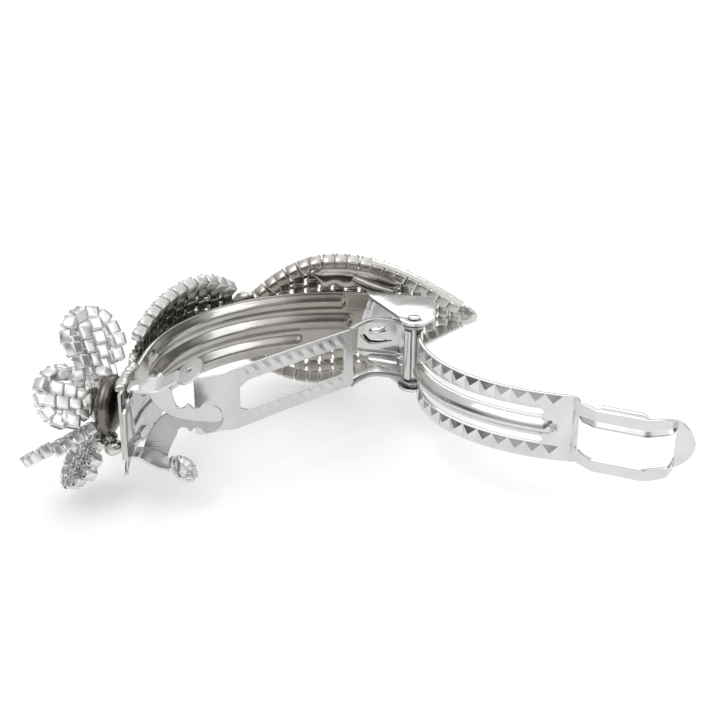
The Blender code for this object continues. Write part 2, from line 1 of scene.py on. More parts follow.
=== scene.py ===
import bpy
import bmesh
import math
import random
from mathutils import Matrix, Vector, noise


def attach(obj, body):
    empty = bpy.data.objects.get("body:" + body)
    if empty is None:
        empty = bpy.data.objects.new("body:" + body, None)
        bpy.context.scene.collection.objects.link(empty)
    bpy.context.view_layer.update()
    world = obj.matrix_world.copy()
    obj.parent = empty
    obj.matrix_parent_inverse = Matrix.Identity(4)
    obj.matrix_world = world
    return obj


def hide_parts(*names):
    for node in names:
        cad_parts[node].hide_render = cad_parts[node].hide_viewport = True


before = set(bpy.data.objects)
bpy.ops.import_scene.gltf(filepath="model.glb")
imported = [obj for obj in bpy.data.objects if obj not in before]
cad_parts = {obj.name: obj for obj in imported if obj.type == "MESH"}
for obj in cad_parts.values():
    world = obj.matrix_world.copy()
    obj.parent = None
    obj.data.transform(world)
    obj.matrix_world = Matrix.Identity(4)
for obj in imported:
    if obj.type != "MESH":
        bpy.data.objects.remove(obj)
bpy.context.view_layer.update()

random.seed(7)

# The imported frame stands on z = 0 with its footprint centred.  The plan below is drawn in mm in the
# clip's own design plan; ORIGIN is the plan point that the frame calls its origin.
ORIGIN = Vector((-7.57, -10.431, -12.872))
MM = 0.001
SHEET = 0.5
WIDTH = 9.7
HINGE = (1.3, -5.0)
PIN_R = 0.75
CUP = 2.1


# ------------------------------------------------------------------ plan curves
def rad(a):
    return math.radians(a)


def heading(th):
    return math.cos(rad(th)), -math.sin(rad(th))


def unit(*p):
    return Vector(p).normalized()


def smooth(a, b, x):
    t = min(1.0, max(0.0, (x - a) / (b - a)))
    return t * t * (3 - 2 * t)


def frange(a, b, n):
    return [a + (b - a) * i / n for i in range(n + 1)]


class Path:
    """Plan curve made of runs of constant curvature: (length, turn in degrees)."""

    def __init__(self, start, th0, runs, step=0.25):
        self.s, self.x, self.y, self.th = [0.0], [start[0]], [start[1]], [th0]
        for length, turn in runs:
            n = max(1, int(math.ceil(length / step)))
            for _ in range(n):
                ds, dt = length / n, turn / n
                hx, hy = heading(self.th[-1] + dt / 2)
                self.x.append(self.x[-1] + hx * ds)
                self.y.append(self.y[-1] + hy * ds)
                self.th.append(self.th[-1] + dt)
                self.s.append(self.s[-1] + ds)
        self.length = self.s[-1]

    def at(self, s):
        if s <= 0.0:
            hx, hy = heading(self.th[0])
            return self.x[0] + hx * s, self.y[0] + hy * s, self.th[0]
        if s >= self.length:
            hx, hy = heading(self.th[-1])
            d = s - self.length
            return self.x[-1] + hx * d, self.y[-1] + hy * d, self.th[-1]
        lo, hi = 0, len(self.s) - 1
        while hi - lo > 1:
            mid = (lo + hi) // 2
            if self.s[mid] <= s:
                lo = mid
            else:
                hi = mid
        f = (s - self.s[lo]) / (self.s[hi] - self.s[lo])
        return (self.x[lo] + f * (self.x[hi] - self.x[lo]),
                self.y[lo] + f * (self.y[hi] - self.y[lo]),
                self.th[lo] + f * (self.th[hi] - self.th[lo]))

    def point(self, s, z, h=0.0):
        x, y, th = self.at(s)
        tx, ty = heading(th)
        return Vector((x + ty * h, y - tx * h, z))


BASE = Path((-37.9, -31.0), -84.0, ((15.5, 0.0), (22.4, 53.4), (22.3, 43.6), (8.0, 10.0)))
BAR = Path((-29.2, -23.6), -24.0, ((4.6, 0.0), (1.8, -19.5), (21.2, 4.0)))
LEVER = Path((2.1, -6.15), 97.0, ((2.05, -4.0), (15.8, -52.0), (15.2, -33.0)))
LOOP_STEPS = ((4.05, 54.5), (6.6, 22.3), (3.2, -11.0), (1.8, -52.0), (2.6, 14.0))
BIG = Path((-25.2, 3.6), -29.4, ((12.0, 26.0), (14.0, 20.0), (12.5, 16.0)))
SMALL = Path((-35.3, -14.75), -83.5, ((8.0, 22.0), (10.0, 30.0), (6.0, 14.0)))


# ------------------------------------------------------------------ materials
def tree(name):
    m = bpy.data.materials.new(name)
    m.use_nodes = True
    nt = m.node_tree
    return m, nt, nt.nodes["Principled BSDF"]


def noise_node(nt, vec, scale, detail=3.0, rough=0.5, distort=0.0):
    n = nt.nodes.new("ShaderNodeTexNoise")
    n.inputs["Scale"].default_value = scale
    n.inputs["Detail"].default_value = detail
    n.inputs["Roughness"].default_value = rough
    n.inputs["Distortion"].default_value = distort
    nt.links.new(vec, n.inputs["Vector"])
    return n.outputs["Fac"]


def ramp(nt, fac, stops):
    r = nt.nodes.new("ShaderNodeValToRGB")
    els = r.color_ramp.elements
    while len(els) < len(stops):
        els.new(0.5)
    for e, (p, c) in zip(els, stops):
        e.position = p
        e.color = (*c, 1.0) if len(c) == 3 else c
    nt.links.new(fac, r.inputs["Fac"])
    return r.outputs["Color"]


def remap(nt, fac, a, b, lo, hi):
    r = nt.nodes.new("ShaderNodeMapRange")
    for k, v in (("From Min", a), ("From Max", b), ("To Min", lo), ("To Max", hi)):
        r.inputs[k].default_value = v
    nt.links.new(fac, r.inputs["Value"])
    return r.outputs["Result"]


def coords(nt, scale=(1, 1, 1), rot=(0, 0, 0)):
    tc = nt.nodes.new("ShaderNodeTexCoord")
    mp = nt.nodes.new("ShaderNodeMapping")
    mp.inputs["Scale"].default_value = scale
    mp.inputs["Rotation"].default_value = rot
    nt.links.new(tc.outputs["Object"], mp.inputs["Vector"])
    return mp.outputs["Vector"]


def bumps(nt, bsdf, heights):
    """Chain of bumps: (height socket, strength, distance in m)."""
    prev = None
    for h, strength, dist in heights:
        b = nt.nodes.new("ShaderNodeBump")
        b.inputs["Strength"].default_value = strength
        b.inputs["Distance"].default_value = dist
        nt.links.new(h, b.inputs["Height"])
        if prev is not None:
            nt.links.new(prev, b.inputs["Normal"])
        prev = b.outputs["Normal"]
    nt.links.new(prev, bsdf.inputs["Normal"])


def plated(name, light, dark, r0=0.05, r1=0.16, wave=0.25, wave_scale=260.0, grain=0.06,
           brush=None, x_darkening=None):
    """Nickel-plated sheet: soft waviness, fine orange peel, cloudy tone and roughness, hairline scratches."""
    m, nt, b = tree(name)
    vec = coords(nt)
    cloud = noise_node(nt, vec, 170.0, 4.0, 0.6, 0.4)
    fine = noise_node(nt, vec, 2600.0, 2.0, 0.6)
    wavy = noise_node(nt, vec, wave_scale, 1.5, 0.4)
    scr = noise_node(nt, coords(nt, (900.0, 900.0, 9000.0), (0.5, 0.2, 0.1)), 1.0, 2.0, 0.7)
    tone = ramp(nt, cloud, ((0.3, dark), (0.7, light)))
    if x_darkening is not None:
        # darker and browner along X in object space; on the base plate this is painted shade towards the hinge end
        sx = nt.nodes.new("ShaderNodeSeparateXYZ")
        nt.links.new(coords(nt), sx.inputs["Vector"])
        k = ramp(nt, remap(nt, sx.outputs["X"], x_darkening[0], x_darkening[1], 0.0, 1.0), ((0.0, (1.0, 1.0, 1.0)), (1.0, x_darkening[2])))
        mul = nt.nodes.new("ShaderNodeVectorMath")
        mul.operation = "MULTIPLY"
        nt.links.new(tone, mul.inputs[0])
        nt.links.new(k, mul.inputs[1])
        tone = mul.outputs["Vector"]
    nt.links.new(tone, b.inputs["Base Color"])
    mix = nt.nodes.new("ShaderNodeMath")
    mix.operation = "ADD"
    nt.links.new(remap(nt, cloud, 0.3, 0.75, r0, r1), mix.inputs[0])
    nt.links.new(remap(nt, scr, 0.55, 0.8, 0.0, 0.06), mix.inputs[1])
    nt.links.new(mix.outputs[0], b.inputs["Roughness"])
    b.inputs["Metallic"].default_value = 1.0
    layers = [(wavy, wave, 0.0004), (fine, grain, 0.00002)]
    if brush is not None:
        line = noise_node(nt, coords(nt, brush[0], brush[1]), 1.0, 2.0, 0.65)
        layers.append((line, brush[2], 0.00005))
    bumps(nt, b, layers)
    return m


NICKEL = plated("nickel_bright", (0.70, 0.70, 0.695), (0.60, 0.60, 0.592), 0.11, 0.20, 0.16, 220.0)
NICKEL_SOFT = plated("nickel_soft", (0.64, 0.64, 0.638), (0.56, 0.56, 0.553), 0.22, 0.32, 0.10, 160.0)
# the ramp along X darkens this plate towards the hinge end: painted shade
NICKEL_WARM = plated("nickel_pressed_warm", (0.58, 0.57, 0.55), (0.42, 0.41, 0.39), 0.10, 0.20, 0.16, 240.0,
                     brush=((300.0, 2500.0, 2500.0), (0.0, 0.0, -0.9), 0.12), x_darkening=(-0.022, 0.008, (0.48, 0.44, 0.38)))
CATCHED = plated("nickel_catch_plate", (0.62, 0.625, 0.63), (0.48, 0.48, 0.485), 0.10, 0.20, 0.22, 300.0)
BRUSHED = plated("nickel_brushed", (0.48, 0.48, 0.475), (0.36, 0.36, 0.354), 0.26, 0.36, 0.08, 200.0,
                 brush=((500.0, 500.0, 5000.0), (0.0, 0.9, 0.0), 0.9))
CHAIN = plated("cup_chain_plate", (0.80, 0.80, 0.795), (0.68, 0.68, 0.67), 0.27, 0.38, 0.20, 700.0, 0.10)
CHAIN_TAN = plated("cup_chain_worn", (0.80, 0.79, 0.77), (0.66, 0.65, 0.62), 0.24, 0.36, 0.22, 700.0, 0.10,
                   x_darkening=(0.010, -0.012, (0.70, 0.68, 0.64)))
CHAIN_GREY = plated("cup_chain_grey", (0.70, 0.695, 0.68), (0.54, 0.535, 0.52), 0.24, 0.36, 0.22, 700.0, 0.10)
LEAF_BACK = plated("leaf_backing", (0.68, 0.66, 0.62), (0.42, 0.40, 0.365), 0.14, 0.26, 0.35, 330.0, 0.10)
# near-black plate for the sheet behind the bracket slit: painted shade in the crease
SLIT_SHADE = plated("slit_painted_shade", (0.09, 0.085, 0.08), (0.04, 0.038, 0.034), 0.30, 0.45, 0.3, 300.0, 0.08)
# darker cup chain for the small leaf's field: painted shade, the field darkened as if in shadow
CHAIN_PAINTED_SHADE = plated("cup_chain_painted_shade", (0.38, 0.37, 0.345), (0.17, 0.163, 0.148), 0.20, 0.34, 0.35, 600.0, 0.12)
CHAIN_MID = plated("cup_chain_dull", (0.76, 0.75, 0.73), (0.55, 0.54, 0.51), 0.22, 0.36, 0.35, 500.0, 0.12,
                   x_darkening=(0.012, 0.001, (0.64, 0.62, 0.58)))
SMOKE = plated("backing_dark_plate", (0.26, 0.245, 0.22), (0.12, 0.11, 0.096), 0.20, 0.34, 0.35, 260.0, 0.08)
SOLDER = plated("solder_plated", (0.78, 0.77, 0.745), (0.50, 0.485, 0.46), 0.18, 0.32, 0.4, 500.0, 0.15)


def crystal(name, tint, metallic, transmission):
    m, nt, b = tree(name)
    vec = coords(nt)
    cloud = noise_node(nt, vec, 420.0, 2.0)
    nt.links.new(ramp(nt, cloud, ((0.35, tuple(c * 0.9 for c in tint)), (0.65, tint))), b.inputs["Base Color"])
    fine = noise_node(nt, vec, 1500.0, 2.0)
    nt.links.new(remap(nt, fine, 0.3, 0.7, 0.01, 0.05), b.inputs["Roughness"])
    b.inputs["Metallic"].default_value = metallic
    b.inputs["Transmission Weight"].default_value = transmission
    b.inputs["IOR"].default_value = 1.62
    b.inputs["Coat Weight"].default_value = 0.6
    b.inputs["Coat Roughness"].default_value = 0.02
    bumps(nt, b, [(fine, 0.03, 0.00002)])
    return m


STONE = crystal("crystal_clear", (0.96, 0.97, 0.985), 0.0, 0.7)
FOIL = crystal("crystal_foil", (0.90, 0.91, 0.93), 0.85, 0.0)


# ------------------------------------------------------------------ mesh helpers
def link(ob):
    bpy.context.scene.collection.objects.link(ob)
    return ob


def mesh_object(name, bm, mats):
    bmesh.ops.recalc_face_normals(bm, faces=bm.faces)
    me = bpy.data.meshes.new(name)
    bm.to_mesh(me)
    bm.free()
    for m in (mats if isinstance(mats, (list, tuple)) else [mats]):
        me.materials.append(m)
    return link(bpy.data.objects.new(name, me))


def settle(ob):
    """Apply the modifiers, so that the piece is its final mesh."""
    bpy.context.view_layer.update()
    dg = bpy.context.evaluated_depsgraph_get()
    me = bpy.data.meshes.new_from_object(ob.evaluated_get(dg))
    ob.modifiers.clear()
    old = ob.data
    ob.data = me
    bpy.data.meshes.remove(old)
    me.name = ob.name


def place(ob, body, replaces=(), angle=40.0, flat=False):
    """Final mesh from mm in the plan to metres in the frame, shaded, and riding on its body."""
    me = ob.data
    me.transform(Matrix.Scale(MM, 4) @ Matrix.Translation(-ORIGIN))
    if flat:
        me.shade_flat()
    elif angle is not None:
        me.shade_smooth()
        me.set_sharp_from_angle(angle=rad(angle))
    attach(ob, body)
    if replaces:
        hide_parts(*replaces)
    return ob


def thicken(ob, thick, bevel=0.0, seg=2, limit=55.0, offset=0.0):
    so = ob.modifiers.new("sheet", "SOLIDIFY")
    so.thickness = thick
    so.offset = offset
    so.use_even_offset = True
    so.use_quality_normals = True
    if bevel:
        round_edges(ob, bevel, seg, limit)


def round_edges(ob, bevel, seg=2, limit=55.0):
    be = ob.modifiers.new("edges", "BEVEL")
    be.width = bevel
    be.segments = seg
    be.limit_method = "ANGLE"
    be.angle_limit = rad(limit)
    be.use_clamp_overlap = True


def grid(bm, P, mask=None, mat=0):
    """Faces over a grid of points; cells for which mask(i, j) is False stay open."""
    store = {}

    def v(i, j):
        if (i, j) not in store:
            store[(i, j)] = bm.verts.new(P[i][j])
        return store[(i, j)]
    for i in range(len(P) - 1):
        for j in range(len(P[0]) - 1):
            if mask is None or mask(i, j):
                f = bm.faces.new((v(i, j), v(i + 1, j), v(i + 1, j + 1), v(i, j + 1)))
                f.material_index = mat
    return store


def prism(bm, outline, lo, hi, axis="z"):
    def at(p, w):
        return Vector((p[0], p[1], w)) if axis == "z" else Vector((p[0], w, p[1]))
    a = [bm.verts.new(at(p, lo)) for p in outline]
    b = [bm.verts.new(at(p, hi)) for p in outline]
    k = len(outline)
    bm.faces.new(a[::-1])
    bm.faces.new(b)
    for i in range(k):
        j = (i + 1) % k
        bm.faces.new((a[i], a[j], b[j], b[i]))


def arc(cx, cy, r, a0, a1, n):
    return [(cx + r * math.cos(rad(a0 + (a1 - a0) * i / n)),
             cy + r * math.sin(rad(a0 + (a1 - a0) * i / n))) for i in range(n + 1)]


def lathe(bm, centre, axis, profile, n=32, closed=False, mat=0, wobble=None):
    w = Vector(axis).normalized()
    u = w.orthogonal().normalized()
    v = w.cross(u)
    c = Vector(centre)
    rings = []
    for d, r in profile:
        if r <= 1e-6:
            rings.append([bm.verts.new(c + w * d)])
        else:
            ring = []
            for k in range(n):
                a = 2 * math.pi * k / n
                p = c + w * d + (u * math.cos(a) + v * math.sin(a)) * r
                if wobble:
                    p = p + (p - c - w * d).normalized() * wobble(p)
                ring.append(bm.verts.new(p))
            rings.append(ring)
    pairs = list(zip(rings, rings[1:]))
    if closed:
        pairs.append((rings[-1], rings[0]))
    for a, b in pairs:
        for k in range(n):
            q = []
            for ring, kk in ((a, k), (a, (k + 1) % n), (b, (k + 1) % n), (b, k)):
                vv = ring[0] if len(ring) == 1 else ring[kk]
                if vv not in q:
                    q.append(vv)
            if len(q) > 2:
                bm.faces.new(q).material_index = mat
    if not closed:
        for ring, flip in ((rings[0], True), (rings[-1], False)):
            if len(ring) > 1:
                bm.faces.new(ring[::-1] if flip else ring).material_index = mat


def blob(bm, centre, axes, radii, bump=0.12, seed=0.0, n=20, m=12):
    """Lumpy closed drop of solder."""
    c = Vector(centre)
    ax = [Vector(a).normalized() for a in axes]
    top = bm.verts.new(c + ax[2] * radii[2])
    bot = bm.verts.new(c - ax[2] * radii[2])
    rings = []
    for i in range(1, m):
        th = math.pi * i / m
        ring = []
        for k in range(n):
            ph = 2 * math.pi * k / n
            d = Vector((math.sin(th) * math.cos(ph), math.sin(th) * math.sin(ph), math.cos(th)))
            f = 1.0 + bump * noise.noise(d * 1.6 + Vector((seed, seed * 1.7, 3.1)))
            ring.append(bm.verts.new(c + sum((ax[q] * (radii[q] * d[q] * f) for q in range(3)), Vector())))
        rings.append(ring)
    for k in range(n):
        j = (k + 1) % n
        bm.faces.new((top, rings[0][k], rings[0][j]))
        bm.faces.new((bot, rings[-1][j], rings[-1][k]))
        for a, b in zip(rings, rings[1:]):
            bm.faces.new((a[k], b[k], b[j], a[j]))


# ------------------------------------------------------------------ base plate
def rib(z, s):
    """Three rolled ribs with hollow channels between them; each rises over a short nose at its ends."""
    h = 0.0
    for zc, end in ((3.4, 54.6), (0.0, 55.4), (-3.4, 47.8)):
        fade = smooth(15.2, 17.6, s) * smooth(end, end - 1.1, s)
        d = abs(z - zc) / 1.5
        if d < 1.0:
            h = max(h, 0.75 * fade * (0.5 + 0.5 * math.cos(d * math.pi)) ** 0.85)
    return h


def build_base():
    bm = bmesh.new()
    half = WIDTH / 2
    zs = frange(-half, half, 84)
    ss = frange(1.5, 60.6, 210)
    P = []
    for s in ss:
        row = []
        for z in zs:
            e = abs(z) / half
            lip = 0.06 * smooth(0.93, 1.0, e) * smooth(13.0, 18.0, s)
            row.append(BASE.point(s, z, rib(z, s) + lip))
        P.append(row)
    grid(bm, P)
    ob = mesh_object("base_plate_pressed", bm, NICKEL_WARM)
    thicken(ob, SHEET, 0.1, 2)
    settle(ob)
    return place(ob, "base", ["base_plate"], 50)


# ------------------------------------------------------------------ catch plate
def ellipse(s, z, cs, cz, la, lb, ang):
    c, q = math.cos(rad(ang)), math.sin(rad(ang))
    u = ((s - cs) * c + (z - cz) * q) / la
    v = (-(s - cs) * q + (z - cz) * c) / lb
    return math.hypot(u, v)


def catch_height(s, z):
    """Pressed shapes on the catch plate: a leaf-like boss, a lens and a curved step between them."""
    h = 0.0
    h += 0.62 * smooth(1.05, 0.45, ellipse(s, z, 9.8, 1.7, 3.9, 0.95, -10))
    h += 0.55 * smooth(1.05, 0.55, ellipse(s, z, 7.2, -3.3, 4.6, 1.15, -14))
    edge = -1.55 - 1.7 * smooth(4.0, 11.5, s) + 0.5 * smooth(11.5, 13.2, s)
    h += 0.40 * smooth(edge - 0.30, edge + 0.12, z) * smooth(0.3, 2.0, s)
    h -= 0.30 * smooth(0.9, 0.2, abs(z - 0.2 - 0.05 * s)) * smooth(1.5, 4.0, s) * smooth(12.8, 10.5, s)
    h += 0.10 * math.sin(s * 1.1 + 0.5) * smooth(0, 3, z)
    return h


def build_catch():
    bm = bmesh.new()
    half = WIDTH / 2
    ss = frange(0.0, 14.6, 72)
    P = []
    for s in ss:
        lo, hi = -half, half
        if 0.5 < s < 7.0:
            lo, hi = -half + 0.45, half - 0.45
        k = smooth(1.3, 0.0, s)
        hi -= 1.9 * k + 2.2 * smooth(6.5, 10.5, s)
        lo += 0.5 * smooth(13.6, 14.6, s) + 0.6 * smooth(9.0, 11.0, s)
        hi -= 1.2 * smooth(13.2, 14.6, s)
        row = []
        for t in frange(0.0, 1.0, 56):
            z = lo + (hi - lo) * t
            row.append(BASE.point(s, z, 0.85 + catch_height(s, z) * 1.05 + 1.1 * smooth(5.5, 13.0, s)))
        P.append(row)
    grid(bm, P)
    ob = mesh_object("catch_plate_pressed", bm, CATCHED)
    thicken(ob, 0.4, 0.08, 2)
    settle(ob)
    place(ob, "base", ["catch_plate"], 45)
    # pointed lugs at the plate's end, drawn out along the long edges
    bm = bmesh.new()
    for z0, z1, s_a, s_b, tip in ((-4.85, -3.2, 0.15, 3.2, -5.5), ):
        P = []
        for t in frange(0.0, 1.0, 14):
            z = -4.0 + (tip + 4.0) * t
            w = 2.0 * (1 - t) ** 0.85 + 0.08
            P.append([BASE.point(-1.05 * t + w * q, z, 0.85 + 0.12 * math.sin(q * 3.0)) for q in (0.0, 0.25, 0.5, 0.75, 1.0)])
        grid(bm, P)
    ob = mesh_object("catch_plate_lug", bm, CATCHED)
    thicken(ob, 0.36, 0.07, 2)
    settle(ob)
    place(ob, "base", (), 45)
    # rivet head on the decorated side
    bm = bmesh.new()
    p = BASE.point(11.6, 0.0, -SHEET / 2 - 0.22)
    q = BASE.point(11.6, 0.0, -SHEET / 2 - 1.3)
    lathe(bm, p, q - p, [(0.0, 1.2), (0.18, 1.28), (0.4, 1.2), (0.62, 1.0), (0.78, 0.72), (0.74, 0.45), (0.66, 0.2), (0.64, 0.0)], 32)
    ob = mesh_object("catch_rivet_head", bm, NICKEL)
    return place(ob, "base", ["catch_rivet"], 60)


# ------------------------------------------------------------------ latch arms
ARM_ROOT = (-36.8, 4.98)
ARM_Y0, ARM_Y1 = -28.6, -25.9
ARM_STRAIGHT = 3.5
DISC_R = 1.95


def hook_outline():
    x0 = ARM_ROOT[0]
    pts = [(x0 + 2.2, 5.3)]
    # the outer curve of the boot, rounded through its driving points
    key = [(x0 + 2.2, 5.3), (x0 + 2.5, 3.6), (x0 + 3.3, 2.0), (x0 + 4.7, 0.9), (x0 + 6.2, 0.15),
           (x0 + 8.6, -0.25), (x0 + 11.2, -0.35), (x0 + 12.0, 0.2), (x0 + 11.9, 1.3), (x0 + 11.0, 2.1), (x0 + 9.75, 2.62)]
    pts = catmull(key, 6)
    pts += arc(x0 + 8.55, 2.47, 0.8, -15, -165, 14)
    pts += arc(x0 + 6.65, 2.47, 0.8, -15, -165, 14)
    pts += catmull([(x0 + 5.75, 2.75), (x0 + 5.6, 3.3), (x0 + 5.3, 4.6), (x0 + 4.4, 5.3)], 4)
    return pts


def catmull(pts, n):
    out = []
    for i in range(len(pts) - 1):
        a = pts[max(0, i - 1)]
        b, c = pts[i], pts[i + 1]
        d = pts[min(len(pts) - 1, i + 2)]
        for k in range(n):
            t = k / n
            out.append(tuple(0.5 * (2 * b[q] + (c[q] - a[q]) * t + (2 * a[q] - 5 * b[q] + 4 * c[q] - d[q]) * t * t
                                    + (3 * b[q] - a[q] - 3 * c[q] + d[q]) * t ** 3) for q in (0, 1)))
    out.append(tuple(pts[-1]))
    return out


def build_arm(name, side, splay, reach, body, plate_mat):
    if side > 0:
        path = Path(ARM_ROOT, -3.0, ((ARM_STRAIGHT, 0.0), (1.2, -splay), (reach + 3.0, 0.0)), step=0.1)
    else:
        path = Path(ARM_ROOT, -3.0, ((0.6, 0.0), (1.2, -24.0), (ARM_STRAIGHT + reach + 3.0, 0.0)), step=0.1)
        reach = 2.4
    twist = 22.0
    cy = (ARM_Y0 + ARM_Y1) / 2
    centre = ARM_STRAIGHT + 1.2 + reach
    neck = centre - 1.62
    us = frange(0.0, ARM_STRAIGHT, 10) + frange(ARM_STRAIGHT, ARM_STRAIGHT + 1.2, 10)[1:] \
        + frange(ARM_STRAIGHT + 1.2, centre - 0.45, 16)[1:] + frange(centre - 0.45, centre + 0.45, 6)[1:] \
        + [centre + DISC_R * math.sin(rad(a)) for a in range(16, 88, 6)]
    rows = []
    for u in us:
        d = abs(u - centre)
        disc = math.sqrt(max(0.0, DISC_R ** 2 - d * d))
        strip = (ARM_Y1 - ARM_Y0) / 2 * (1.0 - 0.28 * smooth(ARM_STRAIGHT, ARM_STRAIGHT + 1.4, u))
        w = max(disc, strip) if u < centre else max(disc, 0.12)
        if neck - 0.5 < u < centre:
            w = max(disc, strip * (1.0 - smooth(neck, neck + 1.0, u)))
        outer = [0.45 + (w - 0.45) * k / 7 for k in range(1, 8)] if w > 0.5 else [w * (0.5 + 0.5 * k / 7) for k in range(1, 8)]
        inner = min(0.45, w * 0.5)
        qs = [-o for o in outer[::-1]] + [-inner, -inner / 3, inner / 3, inner] + outer
        row = []
        for q in qs:
            x, z, th = path.at(u)
            tx, tz = heading(th)
            r = math.hypot(u - centre, q) / DISC_R
            h = 0.0
            if u > centre - DISC_R:
                if side > 0:
                    h = 0.16 * smooth(0.2, 1.0, min(r, 1.0)) + 0.05 * noise.noise(Vector((u * 0.9, q * 0.9, 2.0)))
                else:
                    # pinched, crumpled finger pad with a curled rim
                    h = (0.42 * smooth(0.45, 1.0, min(r, 1.0))
                         + 0.24 * noise.noise(Vector((u * 1.3, q * 1.5, 5.0)))
                         + 0.22 * smooth(0.5, 0.0, abs(r - 0.55) * 2) * math.cos(math.atan2(q, u - centre) * 2))
            phi = rad(twist * smooth(0.4, 2.6, u))
            row.append(Vector((x + tz * h, cy + q * math.cos(phi) - h * math.sin(phi) * side * tx,
                               side * (z - tx * h * math.cos(phi)) + q * math.sin(phi))))
        rows.append(row)
    jm = 8

    def keep(i, j):
        return not (abs((us[i] + us[i + 1]) / 2 - centre) < 0.44 and 7 <= j <= 9)
    bm = bmesh.new()
    grid(bm, rows, keep)
    ob = mesh_object(name + "_arm", bm, NICKEL)
    thicken(ob, 0.42, 0.08, 2, 60)
    settle(ob)
    place(ob, body, [name], 45)
    y = -26.75 if side > 0 else -25.85
    bm = bmesh.new()
    outline = hook_outline()
    if side < 0:
        x0 = ARM_ROOT[0]
        left = catmull([(x0 + 1.1, 5.2), (x0 + 1.5, 3.6), (x0 + 2.5, 1.7), (x0 + 3.7, 0.2), (x0 + 5.0, -0.45), (x0 + 8.6, -0.5),
                        (x0 + 11.2, -0.4), (x0 + 12.0, 0.2), (x0 + 11.9, 1.3), (x0 + 11.0, 2.1), (x0 + 9.75, 2.62)], 6)
        right = catmull([(x0 + 5.75, 2.75), (x0 + 5.3, 3.6), (x0 + 4.6, 5.2), (x0 + 4.2, 6.6)], 4)
        outline = left + arc(x0 + 8.55, 2.47, 0.8, -15, -165, 14) + arc(x0 + 6.65, 2.47, 0.8, -15, -165, 14) + right
    prism(bm, [(x, side * z) for x, z in outline], y - 0.2, y + 0.2, "y")
    ob = mesh_object(name + "_hook", bm, plate_mat)
    round_edges(ob, 0.09, 3, 40)
    settle(ob)
    return place(ob, body, (), 40)


# ------------------------------------------------------------------ tension bar
BAR_HALF, BAR_OPEN = 4.55, 2.25


def polar(r, th):
    hx, hy = heading(th)
    return HINGE[0] + r * hx, HINGE[1] + r * hy


def build_bar():
    bm = bmesh.new()
    L = BAR.length
    o0, o1 = 7.0, L - 1.6
    pitch = 1.9
    ss = frange(0.4, 1.2, 4) + frange(1.2, o0, 20)[1:] + frange(o0, o1, 160)[1:] + frange(o1, L, 8)[1:]
    zt = frange(0.0, 1.0, 14)
    P = []
    for s in ss:
        w = 3.85 + 0.4 * smooth(0.0, 1.2, s) + 0.3 * smooth(4.6, 6.6, s)
        row = []
        taper = smooth(o0 - 0.2, o0 + 1.6, s) * smooth(o1 + 0.3, o1 - 1.0, s)
        hole_lo = BAR_OPEN * (0.72 + 0.28 * smooth(o0, o0 + 1.5, s)) if s < o0 + 1.6 else BAR_OPEN
        hole_lo *= 1.0 - 0.3 * smooth(o1 - 0.8, o1, s)
        for side in (-1, 1):
            cells = []
            for t in zt:
                z = w + (hole_lo - w) * t
                e = min(t, 1 - t) * 2
                ph = ((s - o0) + side * 0.0 + 0.62 * (z if side > 0 else -z)) / pitch
                tooth = 1.0 - abs((ph % 1.0) * 2.0 - 1.0)
                h = taper * 0.20 * smooth(0.0, 0.5, e) * (0.5 - abs(t - 0.5)) * 2 * smooth(0.0, 1.0, tooth)
                cells.append(BAR.point(s, side * z, h))
            if side < 0:
                row += cells
            else:
                row += [BAR.point(s, -hole_lo * q, 0.0) for q in (0.66, 0.33, 0.0, -0.33, -0.66)]
                row += cells[::-1]
        P.append(row)
    m = len(zt)
    grid(bm, P, lambda i, j: not (o0 - 0.01 <= ss[i] and ss[i + 1] <= o1 + 0.01 and m - 1 <= j < m + 5))
    ob = mesh_object("tension_bar_strip", bm, NICKEL_SOFT)
    thicken(ob, 0.42, 0.08, 2, 60)
    settle(ob)
    place(ob, "tension_bar", ["tension_bar"], 45)
    ex, ey, _ = BAR.at(L - 0.5)
    for side, tag in ((1, "upper"), (-1, "lower")):
        bm = bmesh.new()
        spine = catmull([(ex, ey), polar(8.3, 178), polar(6.4, 196), polar(3.6, 205)], 6)
        left, right = [], []
        for i, p in enumerate(spine):
            a = spine[max(0, i - 1)]
            b = spine[min(len(spine) - 1, i + 1)]
            d = Vector((b[0] - a[0], b[1] - a[1])).normalized()
            left.append((p[0] - d.y * 0.4, p[1] + d.x * 0.4))
            right.append((p[0] + d.y * 0.4, p[1] - d.x * 0.4))
        a0 = math.degrees(math.atan2(left[-1][1] - HINGE[1], left[-1][0] - HINGE[0]))
        a1 = math.degrees(math.atan2(right[-1][1] - HINGE[1], right[-1][0] - HINGE[0]))
        diff = (a1 - a0) % 360.0
        sense, turn = (-1.0, 360.0 - diff) if diff < 180.0 else (1.0, diff)
        ring = arc(HINGE[0], HINGE[1], 1.6, a0 + sense * 14, a0 + sense * (turn - 14), 28)
        outline = left + ring + right[::-1]
        hole = arc(HINGE[0], HINGE[1], PIN_R + 0.12, 0, 360, 28)[:-1]
        z0, z1 = sorted((side * 4.25, side * 4.7))
        plate_with_hole(bm, outline, hole, z0, z1)
        ob = mesh_object("tension_bar_tab_" + tag, bm, BRUSHED)
        round_edges(ob, 0.07, 2, 50)
        settle(ob)
        place(ob, "tension_bar", (), 40)


